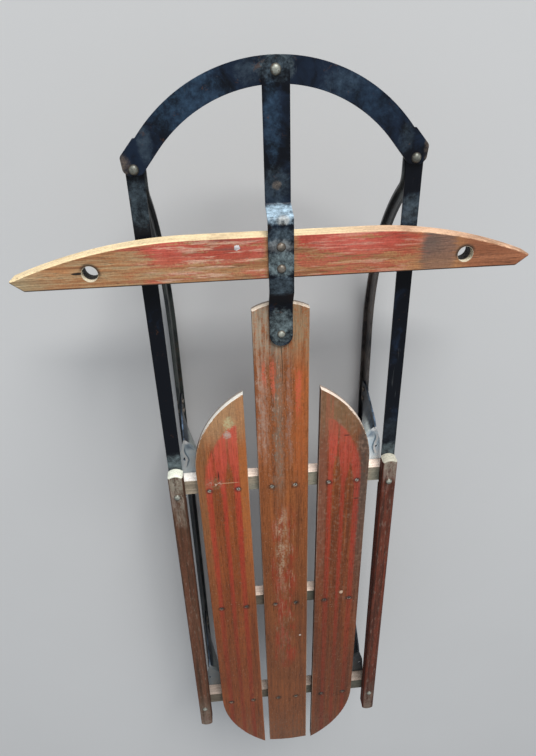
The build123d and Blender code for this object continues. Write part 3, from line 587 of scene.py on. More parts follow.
def worn_patches(paint, grain, colour):
    """Rubbed remains of pale and red paint down the middle of the board, without any shape."""
    rear, front = PATCH_YS
    along = paint.y + (grain.mottle - 0.5) * 0.06
    zone = along.ramp(front + 20 * MM, front - 40 * MM) * along.ramp(rear - 20 * MM, rear + 40 * MM)
    across = paint.x + (grain.blotch - 0.5) * 18 * MM
    wide = abs(paint.x + 1 * MM + (grain.blotch - 0.5) * 26 * MM)
    band = wide.ramp(PATCH_HALF + 4 * MM, PATCH_HALF - 8 * MM)
    kept = paint.noise(paint.stretched((80, 30, 80), (0.1, 0.9, 0.0)), detail=5, rough=0.7)
    redness = (kept + (grain.fibre - 0.5) * 0.6 + (grain.speck - 0.5) * 0.3).ramp(0.42, 0.66)
    colour = paint.mix(colour, PATCH_RED, zone * band * redness * 0.75)
    torn = (grain.speck - 0.5) * 0.35 + (grain.fibre - 0.5) * 0.25
    lumps = paint.noise(paint.stretched((150, 42, 150), (0.7, 0.2, 0.0)), detail=3, rough=0.55)
    blobs = (lumps + torn * 1.4).ramp(0.40, 0.66) * abs(across + 4 * MM).ramp(11 * MM, 3 * MM)
    blobs = blobs * (paint.y.ramp(-140 * MM, -60 * MM) * 0.7 + 0.3) * grain.speck.ramp(0.30, 0.56)
    lines = paint.noise(paint.stretched((380, 34, 380), (0.2, 0.2, 0.0)), detail=4, rough=0.65)
    lines = (lines + torn).ramp(0.56, 0.68) * wide.ramp(PATCH_HALF, PATCH_HALF - 6 * MM)
    fade = paint.y.ramp(-0.33, -0.05) * 0.58 + 0.40
    return paint.mix(colour, PATCH_PALE, zone * blobs.most(lines * 0.6) * fade)


# Benches: dull tones of the top, rosy tones of the planed front face
BENCH_DARK = rgb(0.12, 0.10, 0.075)
BENCH_LIGHT = rgb(0.25, 0.21, 0.16)
BENCH_GREEN = rgb(0.12, 0.13, 0.105)
BENCH_UNDER = rgb(0.24, 0.17, 0.11)
BENCH_DIRT = rgb(0.20, 0.15, 0.11)
ROSY_DARK = rgb(0.80, 0.58, 0.46)
ROSY_LIGHT = rgb(0.97, 0.80, 0.69)
BLEACHED = rgb(0.90, 0.92, 0.90)


def bench_paint():
    """Bare cross pieces: cream where the front face was planed, grey-green and dirty on top."""
    paint = Paint("bench_wood_grain", Specular_IOR_Level=0.25)
    grain = Grain(paint, 0, 1.3)
    ahead = paint.y.ramp(CLEAT_Y + 20 * MM, BENCH_FRONT_Y - 20 * MM)
    behind = paint.y.ramp(CLEAT_Y - 20 * MM, BENCH_REAR_Y + 20 * MM)
    body = grained(paint, grain, BENCH_DARK, BENCH_LIGHT)
    body = paint.mix(body, BENCH_GREEN, grain.blotch.ramp(0.42, 0.62) * 0.7)
    body = paint.scaled(body, ahead * 1.4 + 0.85)
    under = paint.normal()[2].ramp(*DOWNWARD)
    body = paint.mix(body, BENCH_UNDER, under * 0.6)
    facing = paint.normal()[1].ramp(0.4, 0.7)
    rosy = grained(paint, grain, ROSY_DARK, ROSY_LIGHT, 0.7)
    rosy = paint.mix(rosy, BLEACHED, ahead * paint.x.ramp(-0.05, -0.10) * 0.7)
    rosy = paint.scaled(rosy, ahead * 0.28 + 0.76 - behind * 0.38)
    dirt = (grain.blotch + grain.speck * 0.3).ramp(0.68, 0.90)
    rosy = paint.mix(rosy, BENCH_DIRT, dirt * 0.6)
    colour = paint.mix(body, rosy, facing)
    colour = paint.mix(colour, PALE_WOOD, paint.part("edge") * grain.streak.ramp(0.45, 0.7) * 0.4)
    wood_finish(paint, grain, colour, dirt, 0.72)
    return paint.material


# Rails: dark and light varnish, how red, how far grey reaches back from the front, and the tone of the
# bare front end
RAIL_LOOKS = {
    "left": (rgb(0.062, 0.028, 0.015), rgb(0.160, 0.068, 0.036), 0.25, 100 * MM, rgb(0.90, 0.93, 0.80)),
    "right": (rgb(0.050, 0.015, 0.009), rgb(0.150, 0.046, 0.026), 0.75, 50 * MM, rgb(0.60, 0.58, 0.48)),
}
RAIL_GREY = rgb(0.33, 0.30, 0.24)
RAIL_BROWN = rgb(0.25, 0.19, 0.16)
RAIL_CHIP = rgb(0.44, 0.37, 0.30)


def rail_paint(side):
    """Rails: dark varnish with streaks of old red, grey towards the front, and a bare rounded front end."""
    dark, light, redness, grey_reach, bare_tone = RAIL_LOOKS[side]
    paint = Paint(side + "_rail_wood", Specular_IOR_Level=VARNISH_GLOSS)
    grain = Grain(paint, 1, 5.0 + dict(SIDES)[side])
    colour = grained(paint, grain, dark, light)
    red = (grain.streak + grain.mottle * 0.6).ramp(0.70, 1.0)
    colour = paint.mix(colour, OLD_RED, red * redness * 0.8)
    flat = paint.normal()[2].ramp(0.7, 0.95)
    along = paint.y + (grain.mottle - 0.5) * 0.10
    front = along.ramp(RAIL_FRONT_Y - grey_reach, RAIL_FRONT_Y - grey_reach * 0.2)
    rear = along.ramp(-0.36, -0.44)
    grey = grain.ragged.ramp(0.50, 0.72)
    weather = paint.mix(RAIL_GREY, RAIL_BROWN, grain.blotch.ramp(0.4, 0.6))
    colour = paint.mix(colour, weather, grey * flat * (front * 0.80 + rear * 0.55 + 0.05))
    pale = paint.noise(paint.stretched((330, 70, 330), (0.2, 0.5, 0.0)), detail=4, rough=0.68)
    pale = pale.ramp(0.55, 0.67)
    colour = paint.mix(colour, RAIL_CHIP, pale * (0.20 + front * 0.35) * flat)
    facing = paint.normal()[1].ramp(0.15, 0.4)
    bare = paint.mix(paint.scaled(bare_tone, 0.62), bare_tone, grain.speck.ramp(0.34, 0.56))
    colour = paint.mix(colour, bare, facing)
    wood_finish(paint, grain, colour, grey, 0.58)
    return paint.material


# Steering bar: tan wood, old red paint on both halves, and a bright worn front edge
BAR_RED_XS = (20 * MM, 142 * MM)
BAR_GREY_X = 161 * MM
BAR_TIP_X = 215 * MM
WHITE_CHIP_AT = (-43 * MM, 379 * MM)

BAR_DARK = rgb(0.270, 0.115, 0.050)
BAR_LIGHT = rgb(0.650, 0.325, 0.140)
BAR_GREY = rgb(0.46, 0.36, 0.21)
WEATHERED = (rgb(0.28, 0.22, 0.12), rgb(0.56, 0.46, 0.29))
RUDDY_TIP = (rgb(0.210, 0.070, 0.034), rgb(0.480, 0.175, 0.085))
BAR_STAIN = (rgb(0.200, 0.118, 0.092), rgb(0.120, 0.095, 0.085))
FRONT_YELLOW = (rgb(0.56, 0.37, 0.17), rgb(0.78, 0.62, 0.38))
FRONT_ORANGE = (rgb(0.48, 0.25, 0.12), rgb(0.68, 0.43, 0.28))
FRONT_BROWN = rgb(0.30, 0.15, 0.08)
BAR_PINK_RED = rgb(0.560, 0.105, 0.080)
BAR_DEEP_RED = rgb(0.430, 0.056, 0.038)
BAR_SCRAPE = rgb(0.70, 0.45, 0.33)
WHITE_CHIP = rgb(0.85, 0.83, 0.86)
HOLE_PAINTED_SHADE = rgb(0.045, 0.030, 0.020)
BORE_LIP = rgb(0.74, 0.66, 0.50)
BORE_PAINTED_SHADE = rgb(0.030, 0.020, 0.015)


def bar_paint():
    """Steering bar: tan varnish, grey at the left tip, ruddy at the right, darker along the rear edge, and
    painted shade on the faces turned to the rear.
    """
    paint = Paint("bar_wood_grain", Specular_IOR_Level=0.32)
    grain = Grain(paint, 0, 9.4)
    colour = grained(paint, grain, BAR_DARK, BAR_LIGHT, 0.55)
    grey = (grain.streak + grain.mottle * 0.6).ramp(0.72, 1.02)
    colour = paint.mix(colour, BAR_GREY, grey * paint.x.ramp(0.10, -0.12) * 0.8)
    left_tip = (paint.x * -1.0 + (grain.mottle - 0.5) * 0.05).ramp(BAR_TIP_X, BAR_TIP_X + 35 * MM)
    colour = paint.mix(colour, grained(paint, grain, *WEATHERED), left_tip * 0.7)
    right_tip = paint.x.ramp(BAR_GREY_X + 16 * MM, BAR_GREY_X + 36 * MM)
    colour = paint.mix(colour, grained(paint, grain, *RUDDY_TIP), right_tip * 0.85)
    colour = bar_red(paint, grain, colour)
    colour = bar_stain(paint, grain, colour)
    colour = bar_front(paint, grain, colour)
    colour = bar_hole_marks(paint, colour)
    # Darker along the rear edge of the top
    rim = (paint.y + (grain.speck - 0.5) * 1.5 * MM).ramp(BAR_LOW.y + 2.2 * MM, BAR_LOW.y + 0.6 * MM)
    colour = paint.mix(colour, GRIME_AND_SHADE, rim * 0.8)
    # Painted shade: faces turned to the rear, away from the light, are darkened
    rear = (paint.normal()[1] * -1.0).ramp(0.1, 0.6)
    colour = paint.mix(colour, paint.scaled(colour, 0.4), rear)
    wood_finish(paint, grain, colour, grey, 0.52)
    return paint.material


def bar_stain(paint, grain, colour):
    """A dark, broken stain across the right half, beside the red."""
    stain = near(paint, (BAR_GREY_X, BAR_Y), 26 * MM, 46 * MM)
    broken = (grain.mottle + grain.blotch + grain.streak * 1.4 + grain.fibre * 0.8 - 2.1) * 1.5
    stain = (stain * 1.4 + broken).ramp(0.15, 1.15)
    stain = stain * (paint.y.ramp(BAR_LOW.y, BAR_LOW.y + 30 * MM) * 0.3 + 0.7)
    stained = paint.mix(*BAR_STAIN, grain.blotch.ramp(0.42, 0.60))
    return paint.mix(colour, stained, stain * 0.85)


def bar_front(paint, grain, colour):
    """The front edge, rubbed to bright wood: yellow to the left, orange to the right, dull at the tip."""
    facing = paint.normal()[1].ramp(0.12, 0.5)
    yellow = grained(paint, grain, *FRONT_YELLOW, 0.85)
    orange = grained(paint, grain, *FRONT_ORANGE, 0.85)
    bright = paint.mix(yellow, orange, paint.x.ramp(0.02, 0.14))
    worn = grain.blotch.ramp(0.56, 0.70) * 0.4
    worn = worn.most(paint.x.ramp(150 * MM, BAR_TIP_X) * 0.8 * grain.mottle.ramp(0.3, 0.6))
    bright = paint.mix(bright, FRONT_BROWN, worn)
    return paint.mix(colour, bright, facing)


def bar_red(paint, grain, colour):
    """Streaky remains of red paint: nearly whole along the front edge, broken up further back."""
    inner_x, outer_x = BAR_RED_XS
    out = abs(paint.x)
    ragged_out = out + (grain.mottle - 0.5) * 60 * MM + (grain.streak - 0.5) * 90 * MM
    zone = ragged_out.ramp(outer_x + 14 * MM, outer_x - 26 * MM) * out.ramp(12 * MM, inner_x)
    patches = paint.noise(paint.stretched((19, 95, 60), (0.5, 0.2, 0.0)), detail=5, rough=0.66)
    ahead = paint.y.ramp(BAR_HIGH.y - 36 * MM, BAR_HIGH.y - 6 * MM)
    kept = patches + (grain.fibre - 0.5) * 0.35 + (grain.speck - 0.5) * 0.3 + ahead * 0.13
    kept = kept.ramp(0.47, 0.58)
    red = paint.mix(BAR_PINK_RED, BAR_DEEP_RED, grain.blotch.ramp(0.4, 0.62))
    red = paint.scaled(red, 1.35 - grain.fibre * 0.6)
    kept = kept * (ahead * 0.35 + 0.65)
    top = paint.normal()[2].ramp(*UPWARD)
    colour = paint.mix(colour, red, zone * kept * top * 0.9)
    scrape = paint.noise(paint.stretched((24, 240, 80), (0.9, 0.6, 0.0)), detail=4, rough=0.66)
    scrape = scrape.ramp(0.54, 0.63) * zone * (0.65 - paint.x.ramp(0.0, 0.04) * 0.3)
    colour = paint.mix(colour, BAR_SCRAPE, scrape * top)
    chip = (near(paint, WHITE_CHIP_AT, 4.4 * MM, 4 * MM) + (grain.speck - 0.5) * 2.4).ramp(0.45, 0.75)
    chip = chip * near(paint, WHITE_CHIP_AT, 5 * MM, 5 * MM).ramp(0.0, 0.2)
    return paint.mix(colour, WHITE_CHIP, chip * top)


def bar_hole_marks(paint, colour):
    """Painted shade on the forward side round the rope holes, painted shade deep in the bores below a pale
    upper lip, and a split by the left hole.
    """
    across = abs(paint.x) - ROPE_HOLE.x
    along = paint.y - ROPE_HOLE.y
    gap = (across * across + along * along).math("SQRT")
    # Painted shade: a dark crescent on the forward side round each hole
    ring = gap.ramp(ROPE_HOLE_R + 4 * MM, ROPE_HOLE_R + 1 * MM)
    ring = ring * (along - across * 0.4).ramp(-4 * MM, 5 * MM)
    colour = paint.mix(colour, HOLE_PAINTED_SHADE, ring * 0.9)
    inside = gap.ramp(ROPE_HOLE_R + 0.25 * MM, ROPE_HOLE_R + 0.05 * MM)
    # Painted shade deeper down the bore
    bore_shade = paint.z.ramp(BAR_HIGH.z - 6 * MM, BAR_HIGH.z - 8 * MM)
    bore = paint.mix(BORE_LIP, BORE_PAINTED_SHADE, bore_shade)
    colour = paint.mix(colour, bore, inside)
    split_at = (-ROPE_HOLE.x - ROPE_HOLE_R - 4 * MM, ROPE_HOLE.y + 1 * MM)
    split = near(paint, split_at, 7 * MM, 1.5 * MM).ramp(0.0, 0.6)
    return paint.mix(colour, GRIME_AND_SHADE, split * paint.normal()[2].ramp(*UPWARD))


# Steel

BLACK_STEEL = rgb(0.0026, 0.0038, 0.0072)
BLUE_STEEL = rgb(0.0080, 0.0160, 0.0340)
SLATE_STEEL = rgb(0.0560, 0.0800, 0.1050)
BARE_STEEL = rgb(0.300, 0.310, 0.310)
SCRATCH_GREY = rgb(0.10, 0.11, 0.115)
RUST = rgb(0.105, 0.045, 0.020)
STEEL_GRAIN_DEPTH = 0.5 * MM
RIVET_GRAIN_DEPTH = 0.4 * MM
STEEL_BUMP = 0.6


class Wear:
    """Noise patterns that all old paint on steel shares."""

    def __init__(self, paint, seed):
        shift = (seed * 0.31, seed * 0.17, seed * 0.53)
        plain = paint.stretched((1, 1, 1), shift)
        self.cloud = paint.noise(plain, 11, detail=3)
        self.mottle = paint.noise(plain, 42, detail=6, rough=0.66, swirl=0.5)
        self.fleck = paint.noise(plain, 190, detail=5, rough=0.72)
        self.grit = paint.noise(plain, 620, detail=3, rough=0.7)
        spots = paint.noise(plain, 85, detail=6, rough=0.72) + (self.grit - 0.5) * 0.25
        self.rust = spots.ramp(0.62, 0.70)
        self.scratch = paint.noise(paint.stretched((480, 30, 480), shift), detail=2).ramp(0.69, 0.75)


def spotted(paint, wear, place, wide, long):
    """Share of a faint, broken spot round a place, for rubbed paint, dust and painted highlight alike."""
    whole = near(paint, place, wide * 1.4, long * 1.4)
    broken = wear.mottle * 1.2 + wear.fleck * 0.9 + wear.grit * 0.6
    return (whole * 0.9 + broken - 0.9).ramp(0.80, 1.60)


def steel_paint(name, seed, blue, slate, rubs_and_highlights):
    """Old blue-black paint on strip steel: clouds, flecks, worn edges, rust, and spots of given colours:
    rubbed paint, dust, painted highlight and painted sheen.
    """
    paint = Paint(name, Specular_IOR_Level=0.2)
    wear = Wear(paint, seed)
    cloudy = (wear.mottle + wear.cloud * 0.7).ramp(1.05 - blue * 0.5, 1.2 - blue * 0.35)
    colour = paint.mix(BLACK_STEEL, BLUE_STEEL, cloudy)
    hazy = (wear.fleck * 0.6 + wear.mottle * 0.7).ramp(0.80 - slate * 0.3, 1.02 - slate * 0.2)
    colour = paint.mix(colour, SLATE_STEEL, hazy * (slate + 0.20))
    colour = paint.mix(colour, SCRATCH_GREY, wear.scratch * 0.3)
    worn = paint.part("edge") * (wear.mottle + wear.grit * 0.5).ramp(0.66, 0.95)
    for place, wide, long, tone, share in rubs_and_highlights:
        dust = paint.scaled(tone, (wear.fleck * 2.6 + wear.mottle * 1.4 - 1.15).most(0.15))
        colour = paint.mix(colour, dust, spotted(paint, wear, place, wide, long) * share)
    colour = paint.mix(colour, BARE_STEEL, worn * 0.35)
    colour = paint.mix(colour, RUST, (wear.rust * 0.45).most(worn * wear.grit.ramp(0.5, 0.7) * 0.6))
    rough = wear.grit * 0.20 + wear.mottle * 0.30 + wear.rust * 0.3 + 0.16
    paint.feed(Base_Color=colour, Roughness=rough, Metallic=worn * 0.6)
    relief = wear.mottle * 0.5 + wear.fleck * 0.3 + wear.grit * 0.25 - wear.scratch * 0.3 + wear.rust * 0.35
    paint.bump(relief, STEEL_GRAIN_DEPTH, STEEL_BUMP)
    return paint.material


# Knees: painted light and shade, how bright the half cone and the plate on top of it are painted on each
# knee
KNEE_PAINTED_LIGHT = {
    "left_front_knee": (0.30, 0.38),
    "right_front_knee": (1.0, 1.0),
    "left_rear_knee": (0.16, 0.20),
    "right_rear_knee": (0.05, 0.08),
}
KNEE_SHOULDER = 12 * MM     # height below the top where the plate's colour begins
KNEE_SIDE_X = 132 * MM      # the open side at its foot; it leans inward above that
KNEE_FOOT_Z = 27.5 * MM
KNEE_LEAN = 0.0925          # inward lean of the open side, per metre up
TOE_IN = 0.00907            # and its spread to the rear, per metre along the sled
PLATE_FRONT_Y = 121 * MM
PLATE_LINE_X = 121.5 * MM
PLATE_WAVE = 4.8 * MM

LOBE_DARK = rgb(0.050, 0.066, 0.074)
LOBE_DUST_AND_HIGHLIGHT = rgb(0.760, 0.860, 0.850)
NAVY_SHADE = rgb(0.050, 0.085, 0.125)
RIM_PAINTED_HIGHLIGHT = rgb(0.340, 0.520, 0.820)
EDGE_PAINTED_HIGHLIGHT = rgb(0.26, 0.40, 0.60)
PLATE_PAINT_AND_REFLECTION = (rgb(0.700, 0.860, 0.970), rgb(0.930, 0.990, 1.000))
PLATE_PAINTED_HIGHLIGHT = rgb(0.980, 1.000, 1.000)
PLATE_CREASE_SHADE = rgb(0.130, 0.220, 0.300)
PLATE_SHADOW = rgb(0.190, 0.270, 0.360)
PLATE_FLECK = rgb(0.180, 0.230, 0.260)
PLATE_UNDER_SHADE = rgb(0.060, 0.085, 0.110)


def knee_paint(name):
    """Pressed knee: a teal half cone with dust and a painted highlight, a dark band of painted shade and a
    painted highlight on the rim by the open side, painted shade towards the foot, and a pale blue top plate.
    """
    lobe_light, plate_light = KNEE_PAINTED_LIGHT[name]
    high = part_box(name)[1]
    paint = Paint(name + "_steel", Specular_IOR_Level=0.45)
    wear = Wear(paint, 11.0)
    inward = KNEE_SIDE_X - (paint.z - KNEE_FOOT_Z) * KNEE_LEAN - paint.y * TOE_IN - abs(paint.x)
    # Dust and painted highlight on the half cone, brighter higher up
    dusty = (wear.mottle * 0.7 + wear.fleck * 0.6).ramp(0.44, 0.76)
    tall = paint.z.ramp(0.030, 0.090)
    lobe = paint.mix(LOBE_DARK, LOBE_DUST_AND_HIGHLIGHT, (dusty * 0.70 + 0.30) * tall)
    lobe = paint.scaled(lobe, lobe_light)
    # Painted shade: a dark navy band inside the open side
    navy = paint.mix(BLACK_STEEL, NAVY_SHADE, dusty * lobe_light)
    colour = paint.mix(lobe, navy, (inward + (wear.mottle - 0.5) * 3 * MM).ramp(8 * MM, 5 * MM))
    # Painted highlight along the rim of the open side
    rim = inward.ramp(1.6 * MM, 0.6 * MM) * paint.z.ramp(0.050, 0.090)
    colour = paint.mix(colour, RIM_PAINTED_HIGHLIGHT, rim * wear.mottle.ramp(0.35, 0.60) * lobe_light)
    # Painted shade towards the foot
    colour = paint.mix(colour, BLACK_STEEL, paint.z.ramp(0.070, 0.030) * 0.85)
    plate = knee_plate(paint, wear, high.z)
    top = paint.normal()[2].ramp(0.50, 0.75)
    top = top * paint.z.ramp(high.z - KNEE_SHOULDER, high.z - KNEE_SHOULDER * 0.5)
    colour = paint.mix(colour, paint.scaled(plate, plate_light), top)
    edge = paint.part("edge")
    # Painted highlight on the eased edges
    colour = paint.mix(colour, EDGE_PAINTED_HIGHLIGHT, edge * wear.mottle.ramp(0.35, 0.55) * (lobe_light * 0.6))
    colour = paint.mix(colour, RUST, wear.rust * 0.35)
    rough = wear.grit * 0.18 + wear.mottle * 0.25 + wear.rust * 0.3 + 0.16
    paint.feed(Base_Color=colour, Roughness=rough, Metallic=edge * 0.4)
    paint.bump(wear.mottle * 0.5 + wear.fleck * 0.4 + wear.grit * 0.25, STEEL_GRAIN_DEPTH, STEEL_BUMP)
    return paint.material


def knee_plate(paint, wear, level):
    """Top plate: pale blue paint with painted reflection, a painted highlight where it bends down in front,
    and a wavy line of painted shade along it with a painted highlight beside it.
    """
    across = abs(paint.x)
    shade = (wear.mottle + wear.cloud * 0.5 + (wear.fleck - 0.5) * 0.4).ramp(0.55, 0.95)
    # Pale paint brightened as painted reflection
    plate = paint.mix(*PLATE_PAINT_AND_REFLECTION, shade)
    wave = ((paint.y - 70 * MM) / PLATE_WAVE).math("SINE") * 1.8 * MM
    line = across - PLATE_LINE_X - wave + (wear.mottle - 0.5) * 5 * MM
    long = paint.y.ramp(78 * MM, 84 * MM) * paint.y.ramp(PLATE_FRONT_Y - 4 * MM, PLATE_FRONT_Y - 14 * MM)
    # Painted highlight beside the wavy crease
    crease_highlight = abs(line - 2.2 * MM).ramp(2.4 * MM, 0.8 * MM)
    plate = paint.mix(plate, PLATE_PAINTED_HIGHLIGHT, crease_highlight * long)
    # Painted shade along the wavy crease
    plate = paint.mix(plate, PLATE_CREASE_SHADE, abs(line).ramp(1.5 * MM, 0.5 * MM) * long * 0.85)
    shadow = (paint.y + (wear.mottle - 0.5) * 8 * MM).ramp(PLATE_FRONT_Y - 16 * MM, PLATE_FRONT_Y - 9 * MM)
    plate = paint.mix(plate, PLATE_SHADOW, shadow * across.ramp(125 * MM, 118 * MM) * 0.85)
    # Painted highlight where the plate bends down in front
    bend = paint.y.ramp(PLATE_FRONT_Y - 6 * MM, PLATE_FRONT_Y - 2 * MM)
    plate = paint.mix(plate, PLATE_PAINTED_HIGHLIGHT, bend)
    plate = paint.mix(plate, PLATE_FLECK, wear.fleck.ramp(0.60, 0.72) * 0.5)
    # Painted shade below the plate's top
    return paint.mix(plate, PLATE_UNDER_SHADE, paint.z.ramp(level - 1.5 * MM, level - 6 * MM) * 0.7)


# Rivets, bolts and screws
RIVET_PALE = (0.46, 0.48, 0.42)
RIVET_DARK = (0.270, 0.235, 0.195)
RIVET_DIRT = rgb(0.040, 0.028, 0.020)
SCREW_PALE = rgb(0.46, 0.43, 0.38)
SCREW_DARK = rgb(0.10, 0.08, 0.06)


def rivet_paint(name, light, stained, end_shade=1.0):
    """Tarnished heads, dirty and rusty round the rim; end_shade darkens the ones far from the middle."""
    paint = Paint(name, Specular_IOR_Level=0.4)
    grit = paint.noise(paint.place, 620, detail=3, rough=0.65)
    stain = paint.noise(paint.place, 190, detail=4, rough=0.65)
    dull = rgb(*(channel * 0.55 for channel in light))
    colour = paint.mix(dull, rgb(*light), stain.ramp(0.38, 0.62))
    dirt = paint.normal()[2].ramp(0.93, 0.45) * 1.2 + (stain - 0.5) * 1.5 + (grit - 0.5)
    colour = paint.mix(colour, RIVET_DIRT, dirt.least(1.0).most(0.0) * stained)
    colour = paint.mix(colour, paint.scaled(colour, end_shade), abs(paint.x).ramp(60 * MM, 100 * MM))
    colour = paint.mix(colour, RUST, (grit + stain * 0.4).ramp(0.76, 0.90) * 0.7)
    paint.feed(Base_Color=colour, Roughness=grit * 0.35 + 0.25, Metallic=stain.ramp(0.7, 0.3) * 0.5)
    paint.bump(grit * 0.5 + stain * 0.5, RIVET_GRAIN_DEPTH, STEEL_BUMP)
    return paint.material


def screw_paint():
    """Dull screw heads sunk in the boards, darker behind the front row, with painted shade on the sides of
    the heads.
    """
    paint = Paint("screw_metal", Metallic=0.4, Specular_IOR_Level=0.5)
    grit = paint.noise(paint.place, 700, detail=3)
    colour = paint.mix(SCREW_PALE, SCREW_DARK, grit.ramp(0.48, 0.66))
    colour = paint.mix(colour, paint.scaled(colour, 0.3), paint.y.ramp(BENCH_FRONT_Y - 50 * MM, CLEAT_Y))
    # Painted shade on the sides of the heads, down in the countersinks
    colour = paint.mix(GRIME_AND_SHADE, colour, paint.normal()[2].ramp(*UPWARD))
    paint.feed(Base_Color=colour, Roughness=grit * 0.4 + 0.3)
    return paint.material


# Runners
RUNNER_BLACK = rgb(0.008, 0.011, 0.015)
RUNNER_GREY = rgb(0.045, 0.054, 0.056)
RUNNER_DUST = (rgb(0.055, 0.064, 0.058), rgb(0.135, 0.112, 0.098))      # left and right
RUNNER_EDGE_WEAR_AND_HIGHLIGHT = rgb(0.16, 0.165, 0.16)
SOLE_STEEL = (rgb(0.20, 0.195, 0.19), rgb(0.36, 0.35, 0.34))


def runner_paint():
    """Black painted web, rubbed grey on its edges with a painted highlight there, and a sole worn to bare,
    rusting steel.
    """
    paint = Paint("runner_metal", Specular_IOR_Level=0.5)
    mottle = paint.noise(paint.place, 34, detail=6, rough=0.6, swirl=0.3)
    grit = paint.noise(paint.place, 560, detail=3, rough=0.7)
    drag = paint.noise(paint.stretched((900, 9, 900)), detail=2)
    colour = paint.mix(RUNNER_BLACK, RUNNER_GREY, (mottle + grit * 0.3).ramp(0.56, 0.86))
    dusty = paint.y.ramp(0.08, 0.16) * paint.y.ramp(0.40, 0.30) * (mottle + grit * 0.3).ramp(0.45, 0.75)
    rightward = paint.x.ramp(-0.02, 0.02)
    dust = paint.mix(*RUNNER_DUST, rightward)
    colour = paint.mix(colour, dust, dusty * 0.8)
    # Wear and painted highlight on the eased edges
    edge = paint.part("edge") * (mottle + grit * 0.4).ramp(0.45, 0.85)
    colour = paint.mix(colour, RUNNER_EDGE_WEAR_AND_HIGHLIGHT, edge * 0.6)
    rust = (paint.noise(paint.place, 48, detail=6, rough=0.72) + (grit - 0.5) * 0.2).ramp(0.58, 0.68)
    colour = paint.mix(colour, RUST, rust * 0.5)
    sole = paint.part("sole")
    bare = paint.mix(*SOLE_STEEL, drag.ramp(0.35, 0.65))
    bare = paint.mix(bare, RUST, (rust * 0.8 + mottle.ramp(0.55, 0.7) * 0.35).least(0.85))
    colour = paint.mix(colour, bare, sole)
    rough = grit * 0.2 + mottle * 0.25 + rust * 0.25 + 0.16
    paint.feed(Base_Color=colour, Roughness=rough, Metallic=sole * 0.75 * (1.0 - rust * 0.7))
    paint.bump(mottle * 0.5 + grit * 0.3 + drag * sole * 0.4, STEEL_GRAIN_DEPTH, STEEL_BUMP)
    return paint.material


# Mesh tools

MERGE = 0.002 * MM
NEARLY_FLAT = math.radians(0.6)
SHARP = math.radians(50)        # edges that turn more than this are eased
SMOOTH = math.radians(40)       # faces that turn less than this are shaded as one
EDGE_STEPS = 2
BENCH_EDGE = 0.8 * MM
STRIP_EDGE = 0.5 * MM
THIN_EDGE = 0.4 * MM


def cad_copy(*nodes):
    """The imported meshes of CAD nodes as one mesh, with doubles merged and flat areas joined up."""
    made = bmesh.new()
    for node in nodes:
        made.from_mesh(frame["nodes"][node].data)
    bmesh.ops.remove_doubles(made, verts=made.verts, dist=MERGE)
    bmesh.ops.dissolve_limit(made, angle_limit=NEARLY_FLAT, verts=made.verts, edges=made.edges)
    return made


def ease_edges(made, width):
    """Bevel the sharp edges and mark the new faces as edge, for wear and painted highlight."""
    sharp = [edge for edge in made.edges if edge.is_manifold and edge.calc_face_angle(0.0) > SHARP]
    eased = bmesh.ops.bevel(made, geom=sharp, offset=width, offset_type="OFFSET", segments=EDGE_STEPS,
                            profile=0.5, affect="EDGES", clamp_overlap=True, material=-1)
    mark = made.faces.layers.float.get("edge") or made.faces.layers.float.new("edge")
    for face in eased["faces"]:
        if face.is_valid:
            face[mark] = 1.0


def soften(mesh):
    """Corner normals: the area-weighted mean of the faces round a vertex that turn only a little."""
    around = [[] for _ in mesh.vertices]
    for face in mesh.polygons:
        for vertex in face.vertices:
            around[vertex].append(face.index)
    normals = [face.normal.copy() for face in mesh.polygons]
    weighted = [face.normal * face.area for face in mesh.polygons]
    least = math.cos(SMOOTH)
    corners = []
    for face in mesh.polygons:
        own = normals[face.index]
        for vertex in face.vertices:
            total = Vector((0.0, 0.0, 0.0))
            for other in around[vertex]:
                if normals[other].dot(own) > least:
                    total += weighted[other]
            corners.append(total.normalized() if total.length > 0 else own)
    mesh.shade_smooth()
    mesh.normals_split_custom_set(corners)


def piece(name, made, material, body=None, stands_for=()):
    """Turn a finished mesh into a shown piece that rides on its body."""
    mesh = bpy.data.meshes.new(name)
    made.to_mesh(mesh)
    made.free()
    soften(mesh)
    mesh.materials.append(material)
    obj = bpy.data.objects.new(name, mesh)
    bpy.context.scene.collection.objects.link(obj)
    if body:
        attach(obj, body)
    if stands_for:
        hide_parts(*stands_for)
    return obj


def cad_piece(node, material, body, ease=0.0):
    """A CAD node shown as a merged copy with eased edges."""
    made = cad_copy(node)
    if ease:
        ease_edges(made, ease)
    return piece(node + "_look", made, material, body, [node])


# Boards with sunk screws

SCREW_DROP = SCREW_SINK * 0.35      # how far the top of a head sits below the board
SCREW_TALL = SCREW_SINK * 0.6
SCREW_TURN_FIRST = 0.4
SCREW_TURN_STEP = 1.3


def sink_screws(made, level, places):
    """Cut countersinks into the flat top of a board."""
    top = [face for face in made.faces if all(abs(vert.co.z - level) < MERGE for vert in face.verts)]
    rim = [edge for edge in {edge for face in top for edge in face.edges}
           if sum(face in top for face in edge.link_faces) == 1]
    bmesh.ops.delete(made, geom=top, context="FACES_ONLY")
    rings = []
    for place in places:
        ring = bmesh.ops.create_circle(made, segments=SCREW_SIDES, radius=SCREW_HOLE_R,
                                       matrix=Matrix.Translation((*place, level)))
        edges = list({edge for vert in ring["verts"] for edge in vert.link_edges})
        rings.append(edges)
    filled = rim + [edge for edges in rings for edge in edges]
    bmesh.ops.triangle_fill(made, use_beauty=True, use_dissolve=False, edges=filled, normal=(0, 0, 1))
    for edges, place in zip(rings, places):
        sink_ring(made, edges, place, level)
    bmesh.ops.recalc_face_normals(made, faces=made.faces)


